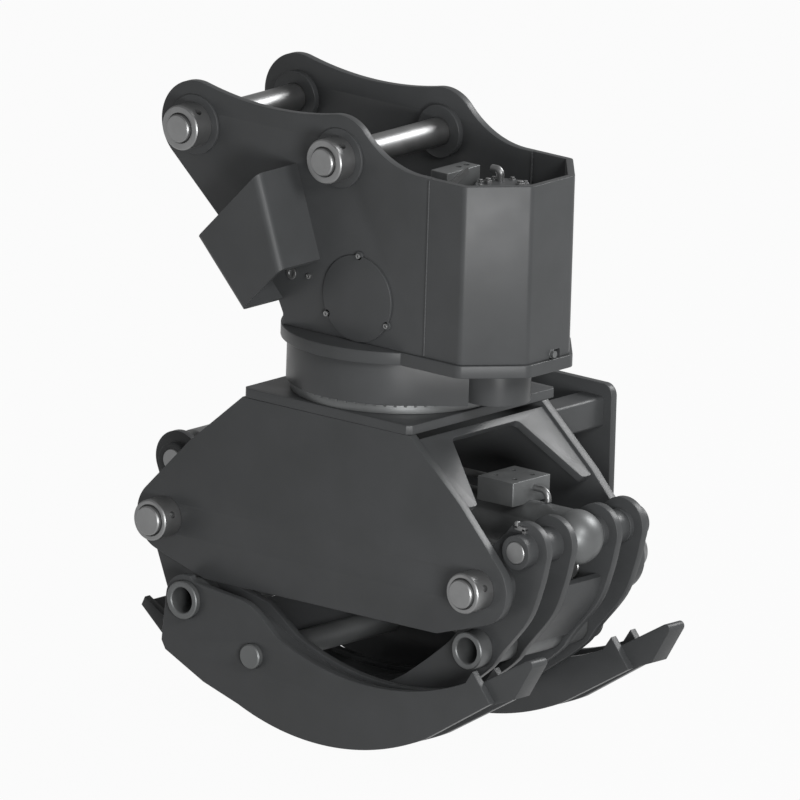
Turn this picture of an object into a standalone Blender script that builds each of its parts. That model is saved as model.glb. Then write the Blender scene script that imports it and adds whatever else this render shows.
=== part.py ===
# Log grapple for an excavator: a two-pin bracket, a driven slewing ring, and a lower
# frame with two crossing tine arms that one hydraulic cylinder opens and closes.
# Metres, +Z up. The origin lies on the slewing axis, level with the two pins.
# X runs along the opening direction, Y along the pins.

import math

import bmesh
import bpy
from mathutils import Matrix, Vector
from mathutils.geometry import tessellate_polygon

# Clearances between pieces
SEAT_GAP = 0.0003
RUNNING_GAP = 0.0006
SIDE_GAP = 0.0015

# Bracket
LINK_X = -0.031
PIN_SPACING = 0.460
PIN_DIAMETER = 0.070
PIN_END = 0.010
CHEEK_GAP = 0.374
CHEEK_THICKNESS = 0.021
LOBE_RADIUS = 0.108
VALLEY_HEIGHT = 0.083
SHOULDER_RADIUS = 0.250
HEEL_X = -0.195
HEEL_RISE = 0.058
COLLAR_DIAMETER = 0.112
COLLAR_LENGTH = 0.055
COLLAR_BOLT_HOLE = 0.018
COLLAR_BOLT_ANGLE = 50
PIVOT_BOLT_ANGLE = 20
BOSS_DIAMETER = 0.150
BOSS_HEIGHT = 0.006
INNER_BOSS_DIAMETER = 0.132
INNER_BOSS_HEIGHT = 0.016
PIN_TO_BASE = 0.452

# Front box, which holds the slewing motor
SEAM_X = 0.256
BOX_CORNER_X = 0.369
BOX_FRONT_X = 0.482
BOX_FRONT_WIDTH = 0.161
BOX_WALL = 0.018
NOTCH_WIDTH = 0.040
NOTCH_HEIGHT = 0.022
NOTCH_Y = 0.022

# Base plate of the bracket
BASE_THICKNESS = 0.032
BASE_RADIUS = 0.287
BASE_LEDGE = 0.008

# Hose guard on the near cheek: the four corners of its channel, seen from the side
GUARD_DEPTH = 0.154
GUARD_WALL = 0.010
GUARD_TOP_LEFT = (-0.352, -0.237)
GUARD_TOP_RIGHT = (-0.165, -0.039)
GUARD_LOW_RIGHT = (-0.082, -0.266)
GUARD_LOW_LEFT = (-0.204, -0.392)
GUARD_BEND = 0.022

# Round access cover on the near cheek
COVER_X = 0.043
COVER_Z = -0.3425
COVER_RADIUS = 0.109
COVER_THICKNESS = 0.006
COVER_EAR_RADIUS = 0.011
COVER_SCREW_RADIUS = 0.007
COVER_SCREW_HEIGHT = 0.005

# Slewing drive
GEAR_MODULE = 0.008
RING_TEETH = 64
PINION_TEETH = 16
RING_BORE_RADIUS = 0.205
RING_FLANGE_HEIGHT = 0.0225
RING_FLANGE_RADIUS = 0.259
TOOTH_WIDTH = 0.080
RACE_BORE_RADIUS = 0.150
CASING_WALL = 0.006
CASING_GAP = 0.003
SLEW_HEIGHT = 0.131
CASING_LIFT = 0.025
HOUSING_RADIUS = 0.0847
HOUSING_LIFT = 0.034
HOUSING_FLOOR = 0.006
HOUSING_WALL = 0.005
SHAFT_RADIUS = 0.030
GEARBOX_RADIUS = 0.088
GEARBOX_HEIGHT = 0.190
MOTOR_RADIUS = 0.080
MOTOR_HEIGHT = 0.222
MANIFOLD_RADIUS = 0.095
MANIFOLD_BORE_RADIUS = 0.030
MANIFOLD_HEIGHT = 0.180
VALVE_SIZE = (0.054, 0.127, 0.100)
VALVE_TOP = -0.006
VALVE_Y = -0.055
MANIFOLD_FLANGE = 0.168

# Lower frame
PLATE_HALF_LENGTH = 0.267
PLATE_THICKNESS = 0.024
PLATE_CHAMFER = 0.012
PLATE_LIP = 0.032
FRAME_INNER_WIDTH = 0.481
SIDE_THICKNESS = 0.026
PIVOT_X = 0.499
PIVOT_DROP = 0.370
PIVOT_LOBE_RADIUS = 0.091
SHOULDER_X = 0.432
SHOULDER_DROP = 0.167
FOOT_X = 0.371
FOOT_DROP = 0.505
PIVOT_PIN_DIAMETER = 0.073
PIVOT_COLLAR_DIAMETER = 0.102
PIVOT_COLLAR_LENGTH = 0.061
END_THICKNESS = 0.020
WINDOW_START = 0.020
WINDOW_TOP_SIDE = 0.113
WINDOW_LOW_SIDE = 0.039
END_RECESS = 0.006
END_TIP_RADIUS = 0.012
PANEL_OFFSET = 0.189
PANEL_THICKNESS = 0.021
PANEL_HALF_LENGTH = 0.313
PANEL_TOP = 0.0145
PANEL_HEIGHT = 0.429
PANEL_CORNER = 0.030
TUBE_SIDE = 0.078
TUBE_WALL = 0.008
TUBE_INSET = 0.024
TUBE_TOP = 0.047

# Cylinder and levers
LEVER_X = 0.087
LEVER_RISE = 0.103
TOP_PIN_DIAMETER = 0.057
TOP_BOSS_DIAMETER = 0.086
LEVER_LOBE_RADIUS = 0.070
BARREL_DIAMETER = 0.132
BORE_DIAMETER = 0.110
BARREL_LENGTH = 0.705
BALL_DIAMETER = 0.138
BALL_WIDTH = 0.113
GLAND_LENGTH = 0.045
GLAND_HEAD = 0.012
ROD_DIAMETER = 0.060
PISTON_LENGTH = 0.060
MANIFOLD_OFFSET = 0.202
MANIFOLD_SIZE = (0.115, 0.143, 0.060)
PIPE_DIAMETER = 0.017
PIPE_REACH = 0.043

# Arms, right one between the frame's sides and left one astride them
ARM_PLATE = 0.021
ARM_SIDE_GAP = 0.0055
TINE_GAP = 0.0785
HUB_RADIUS = 0.060
LEG_RING = 0.013
LEG_FROM_SIDE = 0.0575
LEG_FROM_BALL = 0.0295
BOSS_FROM_SIDE = 0.0085
LEVER_FROM_BALL = 0.053
LEVER_BOSS_HEIGHT = 0.021
TINE_RADIUS = 0.725
LEFT_UPPER_X = 0.207
LEFT_UPPER_DROP = 0.292
LEFT_LOWER_X = 0.061
LEFT_LOWER_DROP = 0.468
RIGHT_UPPER_X = -0.165
RIGHT_UPPER_DROP = 0.387
RIGHT_LOWER_X = -0.110
RIGHT_LOWER_DROP = 0.477
INNER_PLATE_STEP = 0.008
WEB_THICKNESS = 0.018
TOOTH_ROOT = 0.002
WEB_INSET = 0.020
WEB_START = 0.235
LEG_INSET = 0.012
CROSS_TUBE_DIAMETER = 0.095
CROSS_TUBE_BORE = 0.064
LEFT_TUBE_X = 0.110
LEFT_TUBE_DROP = 0.182
RIGHT_TUBE_X = 0.055
RIGHT_TUBE_DROP = 0.171
CROSS_BAR_DIAMETER = 0.062
CROSS_BAR_X = 0.330
CROSS_BAR_DROP = 0.284
TUBE_END = 0.015
STIFFENER = 0.018

# Ends of the tines, seen from the side: distance from the middle and drop below the pivots
LEFT_PLATE_TOP = (0.528, 0.195)
LEFT_PLATE_LOW = (0.587, 0.266)
LEFT_TOOTH_TOP = (0.723, 0.119)
LEFT_TOOTH_LOW = (0.647, 0.2465)
TOOTH_NOSE_RADIUS = 0.012
RIGHT_TIP_LOW = (0.543, 0.3325)
RIGHT_TIP_END = (0.626, 0.2605)
RIGHT_TIP_TOP = (0.616, 0.2385)

# Levels and places that follow from the sizes above
PIN_RADIUS = PIN_DIAMETER / 2
CHEEK_INNER = CHEEK_GAP / 2
CHEEK_OUTER = CHEEK_INNER + CHEEK_THICKNESS
DIPPER_X = LINK_X - PIN_SPACING
BASE_TOP = -PIN_TO_BASE
BASE_BOTTOM = BASE_TOP - BASE_THICKNESS
DECK = BASE_BOTTOM - SLEW_HEIGHT
FRAME_INNER = FRAME_INNER_WIDTH / 2
FRAME_OUTER = FRAME_INNER + SIDE_THICKNESS
TINE_INNER_Y = FRAME_INNER - ARM_SIDE_GAP - ARM_PLATE / 2
TINE_OUTER_Y = TINE_INNER_Y + TINE_GAP
LEG_OUTER_Y = FRAME_INNER - LEG_FROM_SIDE
LEG_INNER_Y = BALL_WIDTH / 2 + LEG_FROM_BALL
BOSS_END_Y = FRAME_INNER - BOSS_FROM_SIDE
LEVER_Y = BALL_WIDTH / 2 + LEVER_FROM_BALL
LEVER_BOSS_END_Y = LEVER_Y + ARM_PLATE / 2 + LEVER_BOSS_HEIGHT
PIVOT_Z = DECK - PIVOT_DROP
LEVER_Z = PIVOT_Z + LEVER_RISE
LEVER_PIN_X = PIVOT_X + LEVER_X
PIVOT_RADIUS = PIVOT_PIN_DIAMETER / 2
TOP_PIN_RADIUS = TOP_PIN_DIAMETER / 2
RING_PITCH_RADIUS = GEAR_MODULE * RING_TEETH / 2
PINION_PITCH_RADIUS = GEAR_MODULE * PINION_TEETH / 2
PINION_X = RING_PITCH_RADIUS + PINION_PITCH_RADIUS
RING_TIP_RADIUS = RING_PITCH_RADIUS + 0.8 * GEAR_MODULE
CASING_INNER = RING_TIP_RADIUS + CASING_GAP
CASING_OUTER = CASING_INNER + CASING_WALL
TUBE_RADIUS = CROSS_TUBE_DIAMETER / 2
BAR_RADIUS = CROSS_BAR_DIAMETER / 2
WEB_OUTER = TINE_OUTER_Y - ARM_PLATE / 2
LEG_GAP_LOW = LEG_INNER_Y + ARM_PLATE / 2
LEG_GAP_HIGH = LEG_OUTER_Y - ARM_PLATE / 2

DARK_PAINT = (0.050, 0.051, 0.053)
BARE_STEEL = (0.42, 0.42, 0.42)
GREY_STEEL = (0.19, 0.19, 0.19)


def clear_scene():
    for old in list(bpy.data.objects):
        bpy.data.objects.remove(old, do_unlink=True)


def finish_object(name, mesh_builder, color, helper=False, metallic=0.3, roughness=0.5):
    # Each object gets its mesh, its own material and smooth shading with sharp edges kept.
    bmesh.ops.recalc_face_normals(mesh_builder, faces=mesh_builder.faces)
    mesh = bpy.data.meshes.new(name)
    mesh_builder.to_mesh(mesh)
    mesh_builder.free()
    mesh.shade_smooth()
    mesh.set_sharp_from_angle(angle=math.radians(32))
    obj = bpy.data.objects.new(name, mesh)
    bpy.context.scene.collection.objects.link(obj)
    if helper:
        obj.hide_render = True
        obj.display_type = "WIRE"
        return obj
    material = bpy.data.materials.new(name)
    material.use_nodes = True
    shader = material.node_tree.nodes["Principled BSDF"]
    shader.inputs["Base Color"].default_value = (*color, 1)
    shader.inputs["Metallic"].default_value = metallic
    shader.inputs["Roughness"].default_value = roughness
    mesh.materials.append(material)
    return obj


def boolean(obj, other, operation):
    modifier = obj.modifiers.new(other.name, "BOOLEAN")
    modifier.operation = operation
    modifier.solver = "EXACT"
    modifier.object = other
    return obj


def arc(center_x, center_z, radius, start, end, count):
    # Points on a circle from one angle to another, in degrees, both ends included.
    points = []
    for step in range(count + 1):
        angle = math.radians(start + (end - start) * step / count)
        points.append((center_x + radius * math.cos(angle), center_z + radius * math.sin(angle)))
    return points


def circle(center_x, center_z, radius, count=20):
    return arc(center_x, center_z, radius, 0, 360, count)[:-1]


def rounded(corners, count=4):
    # Polygon whose corners (x, z, radius) are replaced by fillets.
    points = []
    total = len(corners)
    for index in range(total):
        x, z, radius = corners[index]
        here = Vector((x, z))
        before = Vector(corners[index - 1][:2]) - here
        after = Vector(corners[(index + 1) % total][:2]) - here
        if radius <= 0:
            points.append((x, z))
            continue
        half = before.angle(after) / 2
        reach = min(radius / math.tan(half), 0.48 * before.length, 0.48 * after.length)
        radius = reach * math.tan(half)
        center = here + (before.normalized() + after.normalized()).normalized() * radius / math.sin(half)
        first = here + before.normalized() * reach - center
        last = here + after.normalized() * reach - center
        turn = first.angle_signed(last)
        for step in range(count + 1):
            rotated = first.copy()
            rotated.rotate(Matrix.Rotation(-turn * step / count, 2))
            points.append((center.x + rotated.x, center.y + rotated.y))
    return points


def belt(circles, count=8):
    # Outline of a belt stretched round circles (x, z, radius), listed anticlockwise.
    points = []
    total = len(circles)
    normals = []
    for index in range(total):
        x0, z0, r0 = circles[index]
        x1, z1, r1 = circles[(index + 1) % total]
        along = math.atan2(z1 - z0, x1 - x0)
        lean = math.asin((r1 - r0) / math.hypot(x1 - x0, z1 - z0))
        normals.append(along - math.pi / 2 - lean)
    for index in range(total):
        x, z, radius = circles[index]
        if radius <= 0:
            points.append((x, z))
            continue
        start = normals[index - 1]
        turn = (normals[index] - start) % (2 * math.pi)
        steps = max(2, round(count * turn / math.pi))
        points += arc(x, z, radius, math.degrees(start), math.degrees(start + turn), steps)
    return points


def add_prism(builder, outer, low, high, holes=(), axis="Y"):
    # Extrudes an outline with holes from one coordinate to another along Y or Z.
    loops = [list(outer)] + [list(hole) for hole in holes]
    flat = [point for loop in loops for point in loop]
    triangles = tessellate_polygon([[Vector((a, b, 0)) for a, b in loop] for loop in loops])
    layers = []
    for level in (low, high):
        if axis == "Y":
            layer = [builder.verts.new((a, level, b)) for a, b in flat]
        else:
            layer = [builder.verts.new((a, b, level)) for a, b in flat]
        layers.append(layer)
    for i, j, k in triangles:
        builder.faces.new((layers[0][i], layers[0][j], layers[0][k]))
        builder.faces.new((layers[1][k], layers[1][j], layers[1][i]))
    start = 0
    for loop in loops:
        size = len(loop)
        for index in range(size):
            a = start + index
            b = start + (index + 1) % size
            builder.faces.new((layers[0][a], layers[0][b], layers[1][b], layers[1][a]))
        start += size
    return builder


def prism(name, outer, low, high, color, holes=(), axis="Y", helper=False):
    return finish_object(name, add_prism(bmesh.new(), outer, low, high, holes, axis), color, helper)


def add_relief(builder, points, level, regions, openings):
    # Fills a flat region at one Y level. Each region inside it is (points, level, regions),
    # raised or sunk to its own level, or (points, None, key) where a hole goes through.
    ring = [builder.verts.new((x, level, z)) for x, z in points]
    loops = [points]
    corners = list(ring)
    for inner_points, inner_level, inside in regions:
        loops.append(inner_points)
        foot = [builder.verts.new((x, level, z)) for x, z in inner_points]
        corners += foot
        if inner_level is None:
            openings[inside] = foot
        else:
            top = add_relief(builder, inner_points, inner_level, inside, openings)
            add_wall(builder, foot, top)
    for i, j, k in tessellate_polygon([[Vector((a, b, 0)) for a, b in loop] for loop in loops]):
        builder.faces.new((corners[i], corners[j], corners[k]))
    return ring


def add_wall(builder, first, second):
    for index in range(len(first)):
        following = (index + 1) % len(first)
        builder.faces.new((first[index], first[following], second[following], second[index]))


def relief_plate(name, outline, side, inner, outer, inner_regions, outer_regions, color):
    # Plate along Y between two distances from the middle, on one side of it, with regions
    # in both of its faces. Distances in the regions are measured from the middle too.
    def signed(regions):
        result = []
        for points, level, inside in regions:
            if level is None:
                result.append((points, None, inside))
            else:
                result.append((points, side * level, signed(inside)))
        return result

    builder = bmesh.new()
    inner_openings = {}
    outer_openings = {}
    first = add_relief(builder, outline, side * inner, signed(inner_regions), inner_openings)
    second = add_relief(builder, outline, side * outer, signed(outer_regions), outer_openings)
    add_wall(builder, first, second)
    for key, ring in inner_openings.items():
        add_wall(builder, ring, outer_openings[key])
    return finish_object(name, builder, color)


def boss(x, z, outer_radius, level, bore, key, count=20):
    return (circle(x, z, outer_radius, count), level, [(circle(x, z, bore, count), None, key)])


def hole(x, z, radius, key, count=20):
    return (circle(x, z, radius, count), None, key)


def add_turned(builder, profile, origin, axis, segments, closed=False):
    # Turns a profile of (distance along the axis, radius) points round X, Y or Z.
    rows = []
    for along, radius in profile:
        row = []
        for step in range(1 if radius <= 0 else segments):
            angle = 2 * math.pi * step / segments
            across = radius * math.cos(angle)
            upward = radius * math.sin(angle)
            if axis == "Y":
                offset = (across, along, upward)
            elif axis == "X":
                offset = (along, across, upward)
            else:
                offset = (across, upward, along)
            row.append(builder.verts.new(Vector(origin) + Vector(offset)))
        rows.append(row)
    pairs = list(zip(rows, rows[1:]))
    if closed:
        pairs.append((rows[-1], rows[0]))
    for first, second in pairs:
        for step in range(segments):
            following = (step + 1) % segments
            corners = [first[step % len(first)], first[following % len(first)]]
            corners += [second[following % len(second)], second[step % len(second)]]
            unique = list(dict.fromkeys(corners))
            if len(unique) > 2:
                builder.faces.new(unique)
    if not closed:
        for row in (rows[0], rows[-1]):
            if len(row) > 1:
                builder.faces.new(row)
    return builder


def turned(name, profile, origin, axis, color, segments=28, closed=False, helper=False):
    builder = add_turned(bmesh.new(), profile, origin, axis, segments, closed)
    return finish_object(name, builder, color, helper)


def round_bar(name, x, z, y_end, radius, chamfer, color, y_start=None, segments=28):
    start = -y_end if y_start is None else y_start
    low, high = sorted((start, y_end))
    profile = [(low, radius - chamfer), (low + chamfer, radius)]
    profile += [(high - chamfer, radius), (high, radius - chamfer)]
    return turned(name, profile, (x, 0, z), "Y", color, segments)


def cylinders(name, parts, segments=20):
    # Helper made of solid cylinders along Y: (x, z, radius, low, high) each.
    builder = bmesh.new()
    for x, z, radius, low, high in parts:
        add_turned(builder, [(low, radius), (high, radius)], (x, 0, z), "Y", segments)
    return finish_object(name, builder, BARE_STEEL, helper=True)


def box_points(low_x, high_x, low_z, high_z):
    return [(low_x, low_z), (high_x, low_z), (high_x, high_z), (low_x, high_z)]


def side_span(side, low, high):
    return tuple(sorted((side * low, side * high)))


def make_cheek(name, side):
    # Two lobes round the pins, a shallow valley between them, a concave shoulder
    # down to the rim of the box, and a sloping edge down to the heel.
    half = PIN_SPACING / 2
    spare = half**2 + VALLEY_HEIGHT**2 - LOBE_RADIUS**2
    valley_radius = spare / (2 * (LOBE_RADIUS - VALLEY_HEIGHT))
    valley_z = valley_radius + VALLEY_HEIGHT
    lean = math.degrees(math.atan2(valley_z, half))
    shoulder_x = math.sqrt(LOBE_RADIUS**2 + 2 * LOBE_RADIUS * SHOULDER_RADIUS)
    shoulder_angle = math.degrees(math.atan2(SHOULDER_RADIUS, shoulder_x))
    heel_x = HEEL_X - 0.015
    heel_z = BASE_TOP + HEEL_RISE
    to_heel = math.hypot(heel_x - DIPPER_X, heel_z)
    heel_angle = math.degrees(math.atan2(heel_z, heel_x - DIPPER_X) - math.acos(LOBE_RADIUS / to_heel))
    outline = [(SEAM_X, BASE_TOP + SEAT_GAP), (SEAM_X, 0)]
    outline += arc(LINK_X + shoulder_x, SHOULDER_RADIUS, SHOULDER_RADIUS, 270, 180 + shoulder_angle, 6)
    outline += arc(LINK_X, 0, LOBE_RADIUS, shoulder_angle, 180 - lean, 8)[1:]
    outline += arc(LINK_X - half, valley_z, valley_radius, -lean, lean - 180, 6)[1:]
    outline += arc(DIPPER_X, 0, LOBE_RADIUS, lean, 360 + heel_angle, 14)[1:]
    outline += [(heel_x, heel_z), (HEEL_X, heel_z - 0.030), (HEEL_X, BASE_TOP + SEAT_GAP)]
    bore = PIN_RADIUS + SEAT_GAP
    inner = []
    outer = []
    for key, pin_x in (("link", LINK_X), ("dipper", DIPPER_X)):
        inner.append(boss(pin_x, 0, INNER_BOSS_DIAMETER / 2, CHEEK_INNER - INNER_BOSS_HEIGHT, bore, key))
        outer.append(boss(pin_x, 0, BOSS_DIAMETER / 2, CHEEK_OUTER + BOSS_HEIGHT, bore, key))
    relief_plate(name, outline, side, CHEEK_INNER, CHEEK_OUTER, inner, outer, DARK_PAINT)


def make_collar(name, x, z, y_face, length, outer, bore, side, rise):
    # Ring on the pin's end, with a cross hole for the bolt that locks the pin.
    start = y_face + SEAT_GAP
    end = start + length
    profile = [(side * start, bore), (side * start, outer), (side * (end - 0.004), outer)]
    profile += [(side * end, outer - 0.004), (side * end, bore)]
    collar = turned(name, profile, (x, 0, z), "Y", BARE_STEEL, 20, closed=True)
    reach = outer + 0.02
    drill = bmesh.new()
    add_turned(drill, [(0, COLLAR_BOLT_HOLE / 2), (reach, COLLAR_BOLT_HOLE / 2)], (0, 0, 0), "X", 10)
    middle = side * (start + end) / 2
    turn = Matrix.Translation((x, middle, z)) @ Matrix.Rotation(math.radians(-rise), 4, "Y")
    bmesh.ops.transform(drill, matrix=turn, verts=drill.verts)
    boolean(collar, finish_object(name + "_drill", drill, BARE_STEEL, helper=True), "DIFFERENCE")


def make_bracket():
    make_cheek("cheek_near", -1)
    make_cheek("cheek_far", 1)
    pin_reach = CHEEK_OUTER + BOSS_HEIGHT + COLLAR_LENGTH + PIN_END
    for label, pin_x in (("dipper", DIPPER_X), ("link", LINK_X)):
        round_bar(label + "_pin", pin_x, 0, pin_reach, PIN_RADIUS, 0.004, BARE_STEEL, segments=20)
        for place, side in (("near", -1), ("far", 1)):
            name = label + "_collar_" + place
            face = CHEEK_OUTER + BOSS_HEIGHT
            bore = PIN_RADIUS + SEAT_GAP
            make_collar(name, pin_x, 0, face, COLLAR_LENGTH, COLLAR_DIAMETER / 2, bore, side, COLLAR_BOLT_ANGLE)
    make_front_box()
    make_base_plate()
    make_hose_guard()
    make_access_cover()


def box_path(outset):
    # Half-octagon path of the front box's outer face, moved outwards by a distance.
    front = BOX_FRONT_WIDTH / 2
    lean = math.atan2(CHEEK_OUTER - front, BOX_FRONT_X - BOX_CORNER_X)
    step = outset * math.tan((math.pi / 2 - lean) / 2)
    slope = outset * math.tan(lean / 2)
    return [
        (BOX_CORNER_X + slope, -CHEEK_OUTER - outset),
        (BOX_FRONT_X + outset, -front - step),
        (BOX_FRONT_X + outset, front + step),
        (BOX_CORNER_X + slope, CHEEK_OUTER + outset),
    ]


def make_front_box():
    start = SEAM_X + SEAT_GAP
    outer = [(start, -CHEEK_OUTER)] + box_path(0) + [(start, CHEEK_OUTER)]
    inner = [(start, -CHEEK_OUTER + BOX_WALL)] + box_path(-BOX_WALL) + [(start, CHEEK_OUTER - BOX_WALL)]
    outline = outer + inner[::-1]
    box = prism("front_box", outline, BASE_TOP + SEAT_GAP, 0, DARK_PAINT, axis="Z")
    corners = box_points(NOTCH_Y - NOTCH_WIDTH / 2, NOTCH_Y + NOTCH_WIDTH / 2, 0, 1)
    notch = bmesh.new()
    add_prism(notch, [(y, BASE_TOP - 0.02 + z * (0.02 + NOTCH_HEIGHT)) for y, z in corners], -0.05, 0.05)
    turn = Matrix.Translation((BOX_FRONT_X, 0, 0)) @ Matrix.Rotation(math.radians(90), 4, "Z")
    bmesh.ops.transform(notch, matrix=turn, verts=notch.verts)
    boolean(box, finish_object("notch_cutter", notch, DARK_PAINT, helper=True), "DIFFERENCE")


def make_base_plate():
    # Round at the left, about the slewing axis, and a ledge outside the box at the right.
    ledge = box_path(BASE_LEDGE)
    meet = math.degrees(math.asin((CHEEK_OUTER + BASE_LEDGE) / BASE_RADIUS))
    right_side = rounded([(x, y, 0.03) for x, y in ledge], 3)[4:-4]
    corner_low = rounded([(0, ledge[0][1], 0), (*ledge[0], 0.03), (*ledge[1], 0)], 3)[1:-1]
    corner_high = [(x, -y) for x, y in reversed(corner_low)]
    outline = corner_low + right_side + corner_high + arc(0, 0, BASE_RADIUS, meet, 360 - meet, 28)
    holes = [circle(0, 0, RACE_BORE_RADIUS, 32), circle(PINION_X, 0, SHAFT_RADIUS + 0.004, 20)]
    prism("base_plate", outline, BASE_BOTTOM, BASE_TOP, DARK_PAINT, holes, "Z")


def make_hose_guard():
    # Channel bent from plate: two legs stand on the cheek and a front wall joins them.
    # It tapers, so the top and the lower end each have their own line across the cheek.
    base = CHEEK_OUTER + SEAT_GAP
    top = section_across(GUARD_TOP_LEFT, GUARD_TOP_RIGHT, base)
    low = section_across(GUARD_LOW_LEFT, GUARD_LOW_RIGHT, base)
    builder = bmesh.new()
    first = [builder.verts.new(point) for point in top]
    second = [builder.verts.new(point) for point in low]
    total = len(first)
    for index in range(total):
        following = (index + 1) % total
        builder.faces.new((first[index], first[following], second[following], second[index]))
    for ring in (first, second):
        half = total // 2
        for index in range(half - 1):
            other = total - 1 - index
            builder.faces.new((ring[index], ring[index + 1], ring[other - 1], ring[other]))
    finish_object("hose_guard", builder, DARK_PAINT)


def section_across(left, right, base):
    # U-shaped section from the cheek outwards and back, along the line left to right.
    start = Vector((left[0], left[1]))
    end = Vector((right[0], right[1]))
    width = (end - start).length
    rows = []
    for inset in (0, GUARD_WALL):
        depth = GUARD_DEPTH - inset
        bend = GUARD_BEND - inset
        path = [(inset, 0)]
        path += [(inset + bend + bend * math.cos(a), depth - bend + bend * math.sin(a))
                 for a in (math.pi, math.pi * 5 / 6, math.pi * 4 / 6, math.pi / 2)]
        path += [(width - x, y) for x, y in reversed(path)]
        rows.append(path)
    loop = rows[0] + rows[1][::-1]
    points = []
    for across, outward in loop:
        place = start.lerp(end, across / width)
        points.append((place.x, -(base + outward), place.y))
    return points


def make_access_cover():
    # Disc with three ears. Each ear carries the head of its screw.
    face = -(CHEEK_OUTER + SEAT_GAP)
    ears = []
    heads = []
    for angle in (89, 210, 332):
        x = COVER_X + COVER_RADIUS * math.cos(math.radians(angle))
        z = COVER_Z + COVER_RADIUS * math.sin(math.radians(angle))
        ears.append((x, z, COVER_EAR_RADIUS, face - COVER_THICKNESS, face))
        top = face - COVER_THICKNESS
        heads.append((x, z, COVER_SCREW_RADIUS, top - COVER_SCREW_HEIGHT, top + 0.002))
    disc = circle(COVER_X, COVER_Z, COVER_RADIUS, 40)
    cover = prism("access_cover", disc, face - COVER_THICKNESS, face, DARK_PAINT)
    boolean(cover, cylinders("cover_ears", ears, 12), "UNION")
    boolean(cover, cylinders("cover_screws", heads, 8), "UNION")


def gear_points(teeth, phase):
    # Straight-sided teeth with wide backlash; a tooth centre lies at the phase angle.
    pitch_radius = GEAR_MODULE * teeth / 2
    root = pitch_radius - 1.05 * GEAR_MODULE
    tip = pitch_radius + 0.8 * GEAR_MODULE
    pitch = 2 * math.pi / teeth
    points = []
    for index in range(teeth):
        center = phase + index * pitch
        for share, radius in ((-0.27, root), (-0.12, tip), (0.12, tip), (0.27, root)):
            angle = center + share * pitch
            points.append((radius * math.cos(angle), radius * math.sin(angle)))
    return points


def make_slewing_drive():
    # The toothed ring stands on the lower frame; the race, casing and pinion hang from the bracket.
    flange = circle(0, 0, RING_FLANGE_RADIUS, 36)
    bore = circle(0, 0, RING_BORE_RADIUS, 36)
    ring = prism("ring_gear", flange, DECK + SEAT_GAP, DECK + RING_FLANGE_HEIGHT, GREY_STEEL, [bore], "Z")
    teeth = bmesh.new()
    gear_low = DECK + RING_FLANGE_HEIGHT - 0.004
    add_prism(teeth, gear_points(RING_TEETH, 0), gear_low, gear_low + TOOTH_WIDTH, [bore], "Z")
    boolean(ring, finish_object("ring_teeth", teeth, GREY_STEEL, helper=True), "UNION")
    race_outer = RING_BORE_RADIUS - RUNNING_GAP
    race = [(DECK + 0.006, RACE_BORE_RADIUS + 0.004), (DECK + 0.006, race_outer)]
    race += [(BASE_BOTTOM - SEAT_GAP, race_outer), (BASE_BOTTOM - SEAT_GAP, RACE_BORE_RADIUS + 0.004)]
    turned("slew_race", race, (0, 0, 0), "Z", GREY_STEEL, 36, closed=True)
    make_casing()
    pinion_low = DECK + HOUSING_LIFT + HOUSING_FLOOR + 0.003
    pinion_high = gear_low + TOOTH_WIDTH - 0.002
    pinion = bmesh.new()
    phase = math.pi + math.pi / PINION_TEETH
    outline = [(PINION_X + x, y) for x, y in gear_points(PINION_TEETH, phase)]
    add_prism(pinion, outline, pinion_low, pinion_high, axis="Z")
    obj = finish_object("pinion", pinion, GREY_STEEL)
    shaft = turned("pinion_shaft", [(pinion_low + 0.004, SHAFT_RADIUS), (BASE_TOP, SHAFT_RADIUS)],
                   (PINION_X, 0, 0), "Z", GREY_STEEL, 20, helper=True)
    boolean(obj, shaft, "UNION")
    turned("slew_gearbox",
           [(BASE_TOP + SEAT_GAP, GEARBOX_RADIUS), (BASE_TOP + 0.026, GEARBOX_RADIUS),
            (BASE_TOP + 0.030, GEARBOX_RADIUS - 0.012), (BASE_TOP + GEARBOX_HEIGHT, GEARBOX_RADIUS - 0.012)],
           (PINION_X, 0, 0), "Z", GREY_STEEL, 28)
    motor_low = BASE_TOP + GEARBOX_HEIGHT + SEAT_GAP
    motor_high = motor_low + MOTOR_HEIGHT
    motor = [(motor_low, MOTOR_RADIUS), (motor_high - 0.022, MOTOR_RADIUS)]
    motor += [(motor_high - 0.018, MOTOR_RADIUS - 0.010), (motor_high, MOTOR_RADIUS - 0.014)]
    turned("slew_motor", motor, (PINION_X, 0, 0), "Z", DARK_PAINT, 28)
    high_x = PINION_X - MOTOR_RADIUS - SEAT_GAP
    valve_low = VALVE_TOP - VALVE_SIZE[2]
    outline = box_points(high_x - VALVE_SIZE[0], high_x, valve_low, VALVE_TOP)
    prism("valve_block", outline, VALVE_Y - VALVE_SIZE[1] / 2, VALVE_Y + VALVE_SIZE[1] / 2, GREY_STEEL)
    manifold_low = BASE_TOP - MANIFOLD_HEIGHT
    profile = [(manifold_low, MANIFOLD_BORE_RADIUS), (manifold_low, MANIFOLD_RADIUS)]
    profile += [(BASE_TOP + SEAT_GAP, MANIFOLD_RADIUS), (BASE_TOP + SEAT_GAP, MANIFOLD_FLANGE)]
    profile += [(BASE_TOP + 0.018, MANIFOLD_FLANGE), (BASE_TOP + 0.018, MANIFOLD_BORE_RADIUS)]
    turned("rotary_manifold", profile, (0, 0, 0), "Z", GREY_STEEL, 32, closed=True)


def casing_outline(radius):
    # Round about the slewing axis, with two 45 degree walls that meet the pinion's housing.
    half = HOUSING_RADIUS * 0.55
    tip_x = radius * math.sqrt(2) - half
    return [(tip_x, -half), (tip_x, half)] + arc(0, 0, radius, 45, 315, 27)


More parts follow.
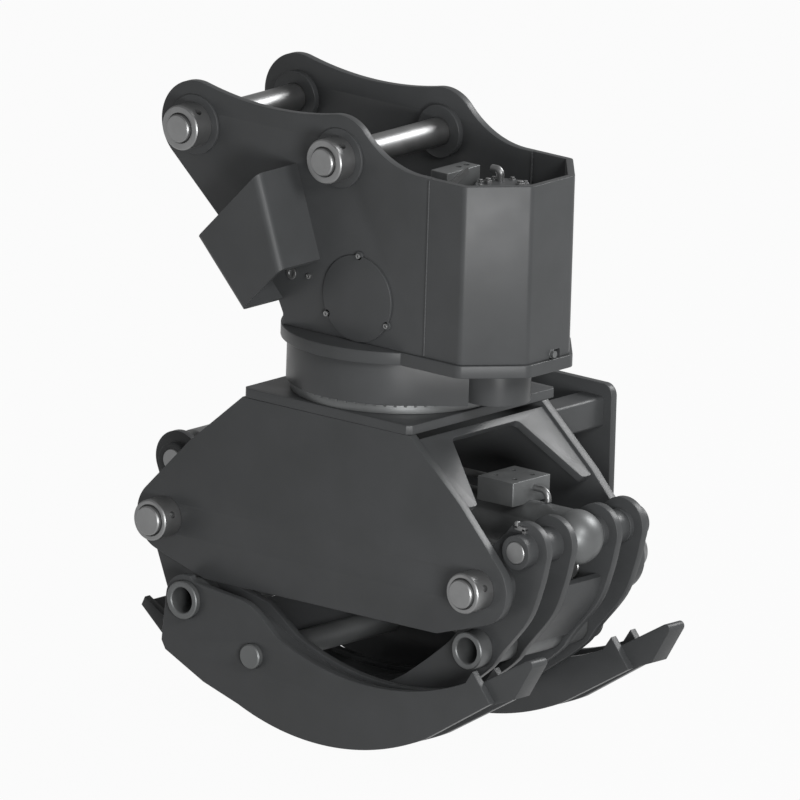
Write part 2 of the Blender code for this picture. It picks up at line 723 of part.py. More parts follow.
def make_casing():
    # Outer guard round the teeth, hung from the base plate, with the pinion's housing
    # as a cup at its nose.
    low = DECK + CASING_LIFT
    high = BASE_BOTTOM - SEAT_GAP
    casing = prism("gear_casing", casing_outline(CASING_OUTER), low, high, DARK_PAINT,
                   [casing_outline(CASING_INNER)], "Z")
    cup_low = DECK + HOUSING_LIFT
    room = turned("casing_room", [(low - 0.02, HOUSING_RADIUS + SEAT_GAP), (high + 0.02, HOUSING_RADIUS + SEAT_GAP)],
                  (PINION_X, 0, 0), "Z", DARK_PAINT, 28, helper=True)
    boolean(casing, room, "DIFFERENCE")
    inner = HOUSING_RADIUS - HOUSING_WALL
    profile = [(cup_low, 0), (cup_low, HOUSING_RADIUS), (high, HOUSING_RADIUS), (high, inner)]
    profile += [(cup_low + HOUSING_FLOOR, inner), (cup_low + HOUSING_FLOOR, 0)]
    housing = turned("drive_housing", profile, (PINION_X, 0, 0), "Z", DARK_PAINT, 28)
    slot = turned("housing_slot", [(cup_low - 0.02, CASING_INNER), (high - 0.012, CASING_INNER)],
                  (0, 0, 0), "Z", DARK_PAINT, 36, helper=True)
    boolean(housing, slot, "DIFFERENCE")


def make_lower_frame():
    half = PLATE_HALF_LENGTH
    cut = PLATE_CHAMFER
    far = FRAME_OUTER + PLATE_LIP
    deck = [(-half + cut, -FRAME_OUTER), (half - cut, -FRAME_OUTER), (half, -FRAME_OUTER + cut)]
    deck += [(half, far - cut), (half - cut, far), (-half + cut, far)]
    deck += [(-half, far - cut), (-half, -FRAME_OUTER + cut)]
    bore = circle(0, 0, MANIFOLD_RADIUS + 0.02, 32)
    prism("top_plate", deck, DECK - PLATE_THICKNESS, DECK, DARK_PAINT, [bore], "Z")
    # The sides stand under the top plate, down to rounded lobes about the arm pivots.
    top = DECK - PLATE_THICKNESS - SEAT_GAP
    outline = belt([
        (half, top, 0), (-half, top, 0), (-SHOULDER_X, DECK - SHOULDER_DROP, 0),
        (-PIVOT_X, PIVOT_Z, PIVOT_LOBE_RADIUS), (-FOOT_X, DECK - FOOT_DROP, 0),
        (FOOT_X, DECK - FOOT_DROP, 0), (PIVOT_X, PIVOT_Z, PIVOT_LOBE_RADIUS),
        (SHOULDER_X, DECK - SHOULDER_DROP, 0),
    ], 14)
    pin_bore = PIVOT_RADIUS + SEAT_GAP
    holes = [circle(-PIVOT_X, PIVOT_Z, pin_bore), circle(PIVOT_X, PIVOT_Z, pin_bore)]
    for place, side in (("near", -1), ("far", 1)):
        low, high = side_span(side, FRAME_INNER, FRAME_OUTER)
        prism("frame_side_" + place, outline, low, high, DARK_PAINT, holes)
    make_end_plate("end_plate_right", 1)
    make_end_plate("end_plate_left", -1)
    make_side_panel()
    for across, label in ((-PIVOT_X, "left"), (PIVOT_X, "right")):
        inner_end = LEVER_Y - ARM_PLATE / 2 if across < 0 else LEG_INNER_Y - ARM_PLATE / 2
        for place, side in (("near", -1), ("far", 1)):
            outer_end = FRAME_OUTER + PIVOT_COLLAR_LENGTH + PIN_END
            name = label + "_pivot_" + place
            round_bar(name + "_pin", across, PIVOT_Z, side * outer_end, PIVOT_RADIUS, 0.004,
                      BARE_STEEL, side * inner_end, 20)
            make_collar(name + "_collar", across, PIVOT_Z, FRAME_OUTER, PIVOT_COLLAR_LENGTH,
                        PIVOT_COLLAR_DIAMETER / 2, pin_bore, side, PIVOT_BOLT_ANGLE)


def make_end_plate(name, side):
    # Sloping plate between the frame's sides, with a window that is open at the bottom.
    start = Vector((PLATE_HALF_LENGTH, DECK - PLATE_THICKNESS - SEAT_GAP))
    slope = Vector((SHOULDER_X, DECK - SHOULDER_DROP)) - start
    length = slope.length
    along = slope.normalized()
    inward = Vector((-along.y, along.x)) * -1
    if inward.x > 0:
        inward = -inward
    width = FRAME_INNER - SEAT_GAP
    top = FRAME_INNER - WINDOW_TOP_SIDE
    low = FRAME_INNER - WINDOW_LOW_SIDE
    window = rounded([(length + 0.001, -low, 0), (WINDOW_START, -top, 0.02), (WINDOW_START, top, 0.02),
                      (length + 0.001, low, 0)], 4)
    tip = rounded([(0, width, 0), (length, width, END_TIP_RADIUS), (length, low, END_TIP_RADIUS), (0, low, 0)], 3)[1:-1]
    outline = [(0, -width), (0, width)] + tip + window[-2:0:-1] + [(run, -across) for run, across in reversed(tip)]
    builder = bmesh.new()
    add_prism(builder, outline, 0, 1, axis="Z")
    for vertex in builder.verts:
        run, across, depth = vertex.co
        depth = depth * END_THICKNESS
        # Starting a little way down keeps the plate's top corner under the deck.
        point = start + along * (run + 0.012) + inward * (depth + END_RECESS)
        vertex.co = (side * point.x, across, min(point.y, start.y))
    finish_object(name, builder, DARK_PAINT)


def make_side_panel():
    # Plate beside the frame, carried by two square tubes that stand on the far frame side.
    low_y = FRAME_OUTER + PANEL_OFFSET
    high_z = DECK - PANEL_TOP
    corners = box_points(-PANEL_HALF_LENGTH, PANEL_HALF_LENGTH, high_z - PANEL_HEIGHT, high_z)
    outline = rounded([(x, z, PANEL_CORNER) for x, z in corners], 4)
    prism("side_panel", outline, low_y, low_y + PANEL_THICKNESS, DARK_PAINT)
    tube_end = PANEL_HALF_LENGTH - TUBE_INSET
    tube_top = DECK - TUBE_TOP
    for label, start in (("left", -tube_end), ("right", tube_end - TUBE_SIDE)):
        loops = []
        for inset, corner in ((0, 0.010), (TUBE_WALL, 0.004)):
            box = box_points(start + inset, start + TUBE_SIDE - inset,
                             tube_top - TUBE_SIDE + inset, tube_top - inset)
            loops.append(rounded([(x, z, corner) for x, z in box], 2))
        prism("panel_tube_" + label, loops[0], FRAME_OUTER + SEAT_GAP, low_y - SEAT_GAP,
              DARK_PAINT, [loops[1]])


def tine_arc(center_x, bottom_drop, start_x, end_x, count):
    # Arc of the tines' common radius, lowest below the pivot at bottom_drop.
    center_z = PIVOT_Z - bottom_drop + TINE_RADIUS
    points = []
    for step in range(count + 1):
        x = start_x + (end_x - start_x) * step / count
        points.append((x, center_z - math.sqrt(TINE_RADIUS**2 - (x - center_x) ** 2)))
    return points


def left_web_outline():
    # Band between the left arm's tine plates, set in from their edges, with a solid tip.
    start = [(-PIVOT_X + WEB_START, PIVOT_Z - 0.175)]
    top_x, top_drop = LEFT_PLATE_TOP
    low_x, low_drop = LEFT_PLATE_LOW
    upper = tine_arc(LEFT_UPPER_X, LEFT_UPPER_DROP + WEB_INSET, -0.171, top_x - 0.036, 7)
    tip = [(top_x - 0.008, PIVOT_Z - top_drop - 0.045), (low_x - 0.021, PIVOT_Z - low_drop + 0.004)]
    lower = tine_arc(LEFT_LOWER_X, LEFT_LOWER_DROP - WEB_INSET, low_x - 0.201, -PIVOT_X + WEB_START + 0.010, 7)
    return start + upper + tip + lower


def left_pocket_outline():
    inset = WEB_INSET + WEB_THICKNESS
    start = -PIVOT_X + WEB_START + WEB_THICKNESS
    outline = [(start, PIVOT_Z - 0.200)]
    outline += tine_arc(LEFT_UPPER_X, LEFT_UPPER_DROP + inset, -0.161, LEFT_PLATE_TOP[0] - 0.130, 7)
    return outline + tine_arc(LEFT_LOWER_X, LEFT_LOWER_DROP - inset, LEFT_PLATE_LOW[0] - 0.221, start + 0.010, 7)


def left_tooth_outline():
    # The tooth starts between the plates, inside the web, and runs out past their ends.
    top_x, top_drop = LEFT_PLATE_TOP
    low_x, low_drop = LEFT_PLATE_LOW
    corners = [(top_x - 0.048, top_drop + 0.067, 0), (*LEFT_TOOTH_TOP, TOOTH_NOSE_RADIUS), (*LEFT_TOOTH_LOW, 0)]
    corners.append((low_x - 0.117, low_drop + 0.051, 0))
    return rounded([(x, PIVOT_Z - drop, radius) for x, drop, radius in corners])


def left_tine_outline():
    # The outer plate: a head round the cross tube, then two arcs of the same radius.
    head = arc(-PIVOT_X + LEFT_TUBE_X, PIVOT_Z - LEFT_TUBE_DROP, 0.062, 175, 78, 7)
    back = [(0.140, 0.134), (0.226, 0.1445), (0.316, 0.160)]
    outline = head + [(x - PIVOT_X, PIVOT_Z - drop) for x, drop in back]
    outline += tine_arc(LEFT_UPPER_X, LEFT_UPPER_DROP, -0.097, LEFT_PLATE_TOP[0] - 0.021, 9)
    outline += [(x, PIVOT_Z - drop) for x, drop in (LEFT_PLATE_TOP, LEFT_PLATE_LOW)]
    outline += tine_arc(LEFT_LOWER_X, LEFT_LOWER_DROP, LEFT_PLATE_LOW[0] - 0.201, -0.212, 8)
    heel = [(0.175, 0.379), (0.051, 0.319), (0.038, 0.297)]
    return outline + [(x - PIVOT_X, PIVOT_Z - drop) for x, drop in heel]


def left_inner_outline():
    # The inner plate: from the pivot down to the tube and along the tine, as far as the outer one.
    pivot = arc(-PIVOT_X, PIVOT_Z, 0.085, 215, 20, 10)
    back = [(0.133, 0.099), (0.226, 0.1485), (0.316, 0.168)]
    outline = pivot + [(x - PIVOT_X, PIVOT_Z - drop) for x, drop in back]
    outline += tine_arc(LEFT_UPPER_X, LEFT_UPPER_DROP + INNER_PLATE_STEP, -0.097, LEFT_PLATE_TOP[0] - 0.021, 9)
    step = INNER_PLATE_STEP / 2
    outline += [(x + step, PIVOT_Z - drop - step) for x, drop in (LEFT_PLATE_TOP, LEFT_PLATE_LOW)]
    outline += tine_arc(LEFT_LOWER_X, LEFT_LOWER_DROP, LEFT_PLATE_LOW[0] - 0.201, -0.212, 8)
    heel = [(0.175, 0.379), (0.051, 0.319), (0.021, 0.267)]
    return outline + [(x - PIVOT_X, PIVOT_Z - drop) for x, drop in heel]


def make_left_arm():
    tube_x = -PIVOT_X + LEFT_TUBE_X
    tube_z = PIVOT_Z - LEFT_TUBE_DROP
    bar_x = -PIVOT_X + CROSS_BAR_X
    bar_z = PIVOT_Z - CROSS_BAR_DROP
    tube_hole = circle(tube_x, tube_z, TUBE_RADIUS + SEAT_GAP, 24)
    bar_hole = circle(bar_x, bar_z, BAR_RADIUS + SEAT_GAP, 20)
    running = PIVOT_RADIUS + RUNNING_GAP
    half = ARM_PLATE / 2
    for place, side in (("near", -1), ("far", 1)):
        low, high = side_span(side, TINE_OUTER_Y - half, TINE_OUTER_Y + half)
        prism("left_tine_outer_" + place, left_tine_outline(), low, high, DARK_PAINT, [tube_hole, bar_hole])
        pivot = hole(-PIVOT_X, PIVOT_Z, running, "pivot")
        tube = (tube_hole, None, "tube")
        bar = (bar_hole, None, "bar")
        web = (left_web_outline(), WEB_OUTER - SEAT_GAP,
               [(left_pocket_outline(), TINE_INNER_Y + half, [bar])])
        name = "left_tine_inner_" + place
        plate = relief_plate(name, left_inner_outline(), side, TINE_INNER_Y - half,
                             TINE_INNER_Y + half, [pivot, tube, bar], [pivot, tube, web], DARK_PAINT)
        low, high = side_span(side, TINE_INNER_Y + half - TOOTH_ROOT, WEB_OUTER - SEAT_GAP)
        tooth = prism(name + "_tooth", left_tooth_outline(), low, high, DARK_PAINT, helper=True)
        boolean(plate, tooth, "UNION")
        make_left_lever("left_lever_" + place, side)
    reach = TINE_OUTER_Y + half + TUBE_END
    make_cross_tube("left_cross_tube", tube_x, tube_z, reach)
    round_bar("left_cross_bar", bar_x, bar_z, reach, BAR_RADIUS, 0.003, GREY_STEEL, segments=20)
    # Stiffening plate from the cross tube to the bar.
    start = Vector((tube_x, tube_z))
    along = Vector((bar_x, bar_z)) - start
    length = along.length
    along.normalize()
    normal = Vector((-along.y, along.x))
    corners = []
    for run, rise in ((0.074, -0.5), (length - BAR_RADIUS - 0.001, -0.5),
                      (length - BAR_RADIUS - 0.001, 0.5), (0.074, 0.5)):
        corners.append(tuple(start + along * run + normal * rise * STIFFENER))
    reach = TINE_INNER_Y - half - SEAT_GAP
    prism("left_back_plate", corners, -reach, reach, DARK_PAINT)
    round_bar("left_top_pin", -LEVER_PIN_X, LEVER_Z, LEVER_BOSS_END_Y + 0.002, TOP_PIN_RADIUS, 0.002,
              BARE_STEEL, segments=20)


def make_left_lever(name, side):
    # Plate from the rod's pin, round the pivot, down to the cross tube.
    tube_x = -PIVOT_X + LEFT_TUBE_X
    tube_z = PIVOT_Z - LEFT_TUBE_DROP
    half = ARM_PLATE / 2
    outline = belt([(-LEVER_PIN_X, LEVER_Z, LEVER_LOBE_RADIUS), (-PIVOT_X - 0.02, PIVOT_Z - 0.03, 0.080),
                    (tube_x, tube_z, 0.066), (-PIVOT_X + 0.01, PIVOT_Z, 0.080)], 14)
    pin_bore = TOP_PIN_RADIUS + SEAT_GAP
    running = PIVOT_RADIUS + RUNNING_GAP
    boss_radius = TOP_BOSS_DIAMETER / 2
    tube = hole(tube_x, tube_z, TUBE_RADIUS + SEAT_GAP, "tube", 24)
    inner = [boss(-LEVER_PIN_X, LEVER_Z, boss_radius, BALL_WIDTH / 2 + SIDE_GAP, pin_bore, "pin"),
             hole(-PIVOT_X, PIVOT_Z, running, "pivot"), tube]
    hub_end = TINE_INNER_Y - half - SEAT_GAP
    outer = [boss(-LEVER_PIN_X, LEVER_Z, boss_radius, LEVER_BOSS_END_Y, pin_bore, "pin"),
             boss(-PIVOT_X, PIVOT_Z, HUB_RADIUS, hub_end, running, "pivot"), tube]
    relief_plate(name, outline, side, LEVER_Y - half, LEVER_Y + half, inner, outer, DARK_PAINT)


def make_cross_tube(name, x, z, reach):
    outer = TUBE_RADIUS
    bore = CROSS_TUBE_BORE / 2
    profile = [(-reach, bore), (-reach, outer - 0.003), (-reach + 0.003, outer)]
    profile += [(reach - 0.003, outer), (reach, outer - 0.003), (reach, bore)]
    turned(name, profile, (x, 0, z), "Y", GREY_STEEL, 24, closed=True)


def right_leg_outline():
    # From the cylinder's pin down past the pivot, then along the tine to the left.
    lobe = arc(LEVER_PIN_X, LEVER_Z, LEVER_LOBE_RADIUS, 150, -20, 12)
    back = [(0.136, -0.012), (0.100, 0.075), (0.021, 0.170), (-0.014, 0.216), (-0.092, 0.277)]
    outline = lobe + [(PIVOT_X + x, PIVOT_Z - drop) for x, drop in back]
    outline += tine_arc(RIGHT_LOWER_X, RIGHT_LOWER_DROP, 0.317, 0.118 - RIGHT_TIP_LOW[0], 9)
    outline += [(-x, PIVOT_Z - drop) for x, drop in (RIGHT_TIP_LOW, RIGHT_TIP_END, RIGHT_TIP_TOP)]
    outline += tine_arc(RIGHT_UPPER_X, RIGHT_UPPER_DROP, 0.120 - RIGHT_TIP_TOP[0], 0.216, 9)
    front = [(-0.1965, 0.213), (-0.128, 0.1485), (-0.090, 0.059)]
    outline += [(PIVOT_X + x, PIVOT_Z - drop) for x, drop in front]
    return outline + arc(PIVOT_X, PIVOT_Z, 0.086, 190, 150, 3)


def right_web_outline():
    # Band between the two plates of a right leg, with a solid tip.
    end_x, end_drop = RIGHT_TIP_END
    low_x, low_drop = RIGHT_TIP_LOW
    upper = tine_arc(RIGHT_UPPER_X, RIGHT_UPPER_DROP + LEG_INSET, 0.200, 0.120 - RIGHT_TIP_TOP[0], 7)
    tip = [(0.018 - end_x, PIVOT_Z - end_drop + 0.013), (0.005 - low_x, PIVOT_Z - low_drop + 0.011)]
    return upper + tip + tine_arc(RIGHT_LOWER_X, RIGHT_LOWER_DROP - LEG_INSET, 0.118 - low_x, 0.243, 7)


def right_pocket_outline():
    inset = LEG_INSET + WEB_THICKNESS
    upper = tine_arc(RIGHT_UPPER_X, RIGHT_UPPER_DROP + inset, 0.177, 0.226 - RIGHT_TIP_TOP[0], 7)
    return upper + tine_arc(RIGHT_LOWER_X, RIGHT_LOWER_DROP - inset, 0.184 - RIGHT_TIP_LOW[0], 0.210, 7)


def make_right_leg(name, side, middle, inner_boss, outer_boss, outer_hub, web=()):
    half = ARM_PLATE / 2
    pin_bore = TOP_PIN_RADIUS + SEAT_GAP
    running = PIVOT_RADIUS + RUNNING_GAP
    boss_radius = TOP_BOSS_DIAMETER / 2
    tube = hole(PIVOT_X - RIGHT_TUBE_X, PIVOT_Z - RIGHT_TUBE_DROP, TUBE_RADIUS + SEAT_GAP, "tube", 24)
    inner = [boss(LEVER_PIN_X, LEVER_Z, boss_radius, inner_boss, pin_bore, "pin"),
             hole(PIVOT_X, PIVOT_Z, running, "pivot"), tube, *web]
    outer = [boss(LEVER_PIN_X, LEVER_Z, boss_radius, outer_boss, pin_bore, "pin"),
             boss(PIVOT_X, PIVOT_Z, HUB_RADIUS, outer_hub, running, "pivot"), tube]
    relief_plate(name, right_leg_outline(), side, middle - half, middle + half, inner, outer, DARK_PAINT)


def make_right_arm():
    half = ARM_PLATE / 2
    ring_end = LEG_GAP_HIGH - LEG_RING
    web = (right_web_outline(), LEG_GAP_LOW + SEAT_GAP, [(right_pocket_outline(), LEG_GAP_HIGH, [])])
    for place, side in (("near", -1), ("far", 1)):
        make_right_leg("right_leg_outer_" + place, side, LEG_OUTER_Y, ring_end, BOSS_END_Y,
                       FRAME_INNER - SIDE_GAP, [web])
        make_right_leg("right_leg_inner_" + place, side, LEG_INNER_Y, BALL_WIDTH / 2 + SIDE_GAP,
                       ring_end - 0.003, LEG_GAP_HIGH - SEAT_GAP)
    tube_reach = FRAME_INNER - 0.004
    make_cross_tube("right_cross_tube", PIVOT_X - RIGHT_TUBE_X, PIVOT_Z - RIGHT_TUBE_DROP, tube_reach)
    round_bar("right_top_pin", LEVER_PIN_X, LEVER_Z, BOSS_END_Y + 0.002, TOP_PIN_RADIUS, 0.002,
              BARE_STEEL, segments=20)
    # Plate that joins the two inner legs along their outer edge.
    outer = [(0.112, 0.006), (0.090, 0.075), (0.012, 0.170)]
    inner = [(0.000, 0.156), (0.074, 0.066), (0.094, 0.001)]
    outline = [(PIVOT_X + x, PIVOT_Z - drop) for x, drop in outer + inner]
    reach = LEG_INNER_Y - half - SEAT_GAP
    prism("right_cross_plate", outline, -reach, reach, DARK_PAINT)


def make_cylinder():
    ball = BALL_DIAMETER / 2
    barrel_radius = BARREL_DIAMETER / 2
    bore = BORE_DIAMETER / 2
    join = math.degrees(math.asin(min(0.99, barrel_radius / ball)))
    profile = []
    for step in range(8):
        angle = math.radians((180 - join) * step / 7)
        profile.append((ball * math.cos(angle), ball * math.sin(angle)))
    end = -BARREL_LENGTH
    profile += [(end, barrel_radius), (end, bore)]
    profile += [(-BALL_DIAMETER * 0.62, bore), (-BALL_DIAMETER * 0.62, 0)]
    origin = (LEVER_PIN_X, 0, LEVER_Z)
    barrel = turned("cylinder_barrel", profile, origin, "X", GREY_STEEL, 24)
    cuts = [(LEVER_PIN_X, LEVER_Z, ball + 0.01, BALL_WIDTH / 2, ball + 0.02),
            (LEVER_PIN_X, LEVER_Z, ball + 0.01, -ball - 0.02, -BALL_WIDTH / 2)]
    boolean(barrel, cylinders("ball_flats", cuts), "DIFFERENCE")
    eye = [(LEVER_PIN_X, LEVER_Z, TOP_PIN_RADIUS + RUNNING_GAP, -0.2, 0.2)]
    boolean(barrel, cylinders("ball_hole", eye), "DIFFERENCE")
    # The gland screws into the barrel's open end and guides the rod.
    rod_radius = ROD_DIAMETER / 2
    inside = bore - SEAT_GAP
    gland = [(end - GLAND_HEAD, rod_radius + RUNNING_GAP), (end - GLAND_HEAD, barrel_radius - 0.004)]
    gland += [(end - SEAT_GAP, barrel_radius - 0.004), (end - SEAT_GAP, inside)]
    gland += [(end + GLAND_LENGTH, inside), (end + GLAND_LENGTH, rod_radius + RUNNING_GAP)]
    turned("cylinder_gland", gland, origin, "X", GREY_STEEL, 24, closed=True)
    # Rod with its piston, drawn out to the closed position of the tines.
    start = -LEVER_PIN_X
    piston_end = LEVER_PIN_X + end + GLAND_LENGTH + PISTON_LENGTH + 0.006
    piston_start = piston_end - PISTON_LENGTH
    piston = bore - RUNNING_GAP
    rod = [(start + 0.02, rod_radius), (piston_start, rod_radius), (piston_start, piston)]
    rod += [(piston_end, piston)]
    obj = turned("cylinder_rod", rod, (0, 0, LEVER_Z), "X", BARE_STEEL, 24)
    eye = [(-LEVER_PIN_X, LEVER_Z, 0.062, -BALL_WIDTH / 2, BALL_WIDTH / 2)]
    boolean(obj, cylinders("rod_eye", eye), "UNION")
    eye_hole = [(-LEVER_PIN_X, LEVER_Z, TOP_PIN_RADIUS + RUNNING_GAP, -0.2, 0.2)]
    boolean(obj, cylinders("rod_eye_hole", eye_hole), "DIFFERENCE")
    make_manifold()


def make_manifold():
    # Valve block saddled on the barrel, with one hard pipe to each end.
    long, wide, tall = MANIFOLD_SIZE
    middle = LEVER_PIN_X - MANIFOLD_OFFSET
    seat = BARREL_DIAMETER / 2
    low = LEVER_Z + seat - 0.006
    high = low + tall
    block = prism("manifold_block", box_points(middle - long / 2, middle + long / 2, low, high),
                  -wide / 2, wide / 2, GREY_STEEL)
    saddle = turned("manifold_saddle", [(middle - long, seat + SEAT_GAP), (middle + long, seat + SEAT_GAP)],
                    (0, 0, LEVER_Z), "X", GREY_STEEL, 28, helper=True)
    boolean(block, saddle, "DIFFERENCE")
    height = low + tall * 0.6
    drop = LEVER_Z + seat + 0.002
    make_pipe("pipe_base_end", middle + long / 2 + SEAT_GAP, 1, 0.012, height, drop, PIPE_REACH)
    far_reach = middle - long / 2 - (LEVER_PIN_X - BARREL_LENGTH) - 0.05
    make_pipe("pipe_rod_end", middle - long / 2 - SEAT_GAP, -1, 0.012, height, drop, far_reach)


def make_pipe(name, start_x, direction, y, height, drop, reach):
    # Hard pipe that leaves the block level and bends down to the barrel.
    radius = PIPE_DIAMETER / 2
    bend = 0.022
    curve = bpy.data.curves.new(name, "CURVE")
    curve.dimensions = "3D"
    path = [(start_x, height), (start_x + direction * (reach - bend), height)]
    for step in range(1, 5):
        angle = math.pi / 2 * (1 - step / 4)
        path.append((start_x + direction * (reach - bend + bend * math.cos(angle)),
                     height - bend + bend * math.sin(angle)))
    path.append((start_x + direction * reach, drop))
    spline = curve.splines.new("POLY")
    spline.points.add(len(path) - 1)
    for point, (x, z) in zip(spline.points, path):
        point.co = (x, y, z, 1)
    curve.bevel_depth = radius
    curve.bevel_resolution = 2
    curve.use_fill_caps = True
    obj = bpy.data.objects.new(name, curve)
    bpy.context.scene.collection.objects.link(obj)
    material = bpy.data.materials.new(name)
    material.use_nodes = True
    shader = material.node_tree.nodes["Principled BSDF"]
    shader.inputs["Base Color"].default_value = (*BARE_STEEL, 1)
    shader.inputs["Metallic"].default_value = 0.6
    shader.inputs["Roughness"].default_value = 0.4
    curve.materials.append(material)


def make_axis(name, place, parent=None):
    # Empty on a joint's axis. The pieces that turn about it are parented to it.
    axis = bpy.data.objects.new(name, None)
    axis.location = place
    bpy.context.scene.collection.objects.link(axis)
    if parent:
        hold(axis, parent)
    return axis


def hold(obj, axis):
    obj.parent = axis
    obj.matrix_parent_inverse = Matrix.Translation(-axis.location)


def hold_pieces(axis, starts):
    for obj in bpy.data.objects:
        if obj.type != "EMPTY" and not obj.hide_render and obj.name.startswith(starts):
            hold(obj, axis)


def hold_moving_pieces():
    slew = make_axis("slew_axis", (0, 0, DECK))
    left = make_axis("left_arm_axis", (-PIVOT_X, 0, PIVOT_Z), slew)
    right = make_axis("right_arm_axis", (PIVOT_X, 0, PIVOT_Z), slew)
    barrel = make_axis("barrel_axis", (LEVER_PIN_X, 0, LEVER_Z), right)
    rod = make_axis("rod_axis", (-LEVER_PIN_X, 0, LEVER_Z), left)
    pinion = make_axis("pinion_axis", (PINION_X, 0, DECK))
    hold_pieces(slew, ("ring_gear", "top_plate", "frame_side", "end_plate", "side_panel", "panel_tube"))
    hold_pieces(slew, ("left_pivot", "right_pivot"))
    hold_pieces(left, ("left_tine", "left_lever", "left_cross", "left_back", "left_top"))
    hold_pieces(right, ("right_leg", "right_cross", "right_top"))
    hold_pieces(barrel, ("cylinder_barrel", "cylinder_gland", "manifold_block", "pipe"))
    hold_pieces(rod, ("cylinder_rod",))
    hold_pieces(pinion, ("pinion",))


def main():
    clear_scene()
    make_bracket()
    make_slewing_drive()
    make_lower_frame()
    make_left_arm()
    make_right_arm()
    make_cylinder()
    hold_moving_pieces()


main()
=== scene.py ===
# Looks of the log grapple: every piece is made again as a fine surface, in its own paint or steel.
import math
import bmesh
import bpy
import numpy as np
from mathutils import Matrix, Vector
from mathutils.geometry import tessellate_polygon


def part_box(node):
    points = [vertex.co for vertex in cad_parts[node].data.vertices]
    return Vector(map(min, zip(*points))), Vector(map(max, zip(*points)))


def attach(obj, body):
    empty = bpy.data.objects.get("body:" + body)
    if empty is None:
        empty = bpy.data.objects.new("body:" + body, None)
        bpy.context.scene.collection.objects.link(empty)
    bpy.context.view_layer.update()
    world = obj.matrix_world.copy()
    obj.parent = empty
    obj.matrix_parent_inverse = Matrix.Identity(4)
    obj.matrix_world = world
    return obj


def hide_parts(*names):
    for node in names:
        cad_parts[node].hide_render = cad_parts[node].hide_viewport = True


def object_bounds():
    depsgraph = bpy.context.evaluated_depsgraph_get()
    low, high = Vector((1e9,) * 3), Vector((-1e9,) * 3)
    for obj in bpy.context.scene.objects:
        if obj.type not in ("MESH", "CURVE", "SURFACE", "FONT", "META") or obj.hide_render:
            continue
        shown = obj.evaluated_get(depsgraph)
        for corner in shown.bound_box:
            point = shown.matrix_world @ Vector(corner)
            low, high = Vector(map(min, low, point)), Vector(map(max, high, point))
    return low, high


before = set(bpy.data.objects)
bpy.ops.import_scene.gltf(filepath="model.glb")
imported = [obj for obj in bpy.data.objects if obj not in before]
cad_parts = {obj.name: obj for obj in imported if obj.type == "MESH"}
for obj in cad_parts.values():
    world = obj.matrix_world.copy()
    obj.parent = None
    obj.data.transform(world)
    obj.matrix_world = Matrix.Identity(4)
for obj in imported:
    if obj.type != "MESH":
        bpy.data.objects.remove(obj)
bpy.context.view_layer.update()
print("frame loaded:", len(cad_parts), "nodes")


# Places read from the frame

def spanOf(node):
    low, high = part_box(node)
    return np.array(low), np.array(high)


def middleOf(node):
    low, high = spanOf(node)
    return (low + high) / 2


deckLow, deckTop = (corner[2] for corner in spanOf("top_plate"))
baseLow, baseTop = (corner[2] for corner in spanOf("base_plate"))
frameInner, frameOuter = (corner[1] for corner in spanOf("frame_side_far"))
pivotX, pivotZ = middleOf("right_pivot_near_pin")[[0, 2]]
leverX, leverZ = middleOf("right_top_pin")[[0, 2]]
linkX, dipperX, driveX = (middleOf(node)[0] for node in ("link_pin", "dipper_pin", "pinion"))
pivotRadius = spanOf("right_pivot_near_pin")[1][0] - pivotX
axisSpot = (0, 0, 0)
driveSpot = (driveX, 0, 0)

# Thickness of the arms' plates, gaps of fitted and of running surfaces, how far shells of one piece
# run into each other, and how far a cutter reaches past what it cuts
armPlate = 0.021
fitGap = 0.0003
runGap = 0.0006
overlap = 0.001
cutSpare = 0.02
sharpAngle = math.radians(34)


# Lines: arrays of points (a, b) in the plane of a plate

def arcLine(a, b, radius, start, end, count=24):
    # Points a + r cos t, b + r sin t for even angles t, in degrees, both ends included.
    turn = np.radians(np.linspace(start, end, count + 1))
    return np.column_stack([a + radius * np.cos(turn), b + radius * np.sin(turn)])


def ringLine(a, b, radius, count=72):
    return arcLine(a, b, radius, 0, 360, count)[:-1]


def boxLine(lowA, highA, lowB, highB, radius=0.0, count=6):
    corners = [(lowA, lowB), (highA, lowB), (highA, highB), (lowA, highB)]
    return filletLine([(a, b, radius) for a, b in corners], count)


def filletLine(corners, count=8):
    # Each corner (a, b, r) turns into an arc of radius r that touches both sides of the corner.
    spots = np.array([corner[:2] for corner in corners], float)
    pieces = []
    for index, (a, b, radius) in enumerate(corners):
        here = np.array([a, b], float)
        if radius <= 0:
            pieces.append(here[None])
            continue
        back = spots[index - 1] - here
        ahead = spots[(index + 1) % len(corners)] - here
        shortest = 0.49 * min(np.linalg.norm(back), np.linalg.norm(ahead))
        back /= np.linalg.norm(back)
        ahead /= np.linalg.norm(ahead)
        half = math.acos(np.clip(back @ ahead, -1, 1)) / 2
        reach = min(radius / math.tan(half), shortest)
        radius = reach * math.tan(half)
        center = here + (back + ahead) / np.linalg.norm(back + ahead) * radius / math.sin(half)
        first = here + back * reach - center
        last = here + ahead * reach - center
        start = math.atan2(first[1], first[0])
        turn = math.remainder(math.atan2(last[1], last[0]) - start, 2 * math.pi)
        angles = start + turn * np.linspace(0, 1, count + 1)
        pieces.append(center + radius * np.column_stack([np.cos(angles), np.sin(angles)]))
    return np.vstack(pieces)


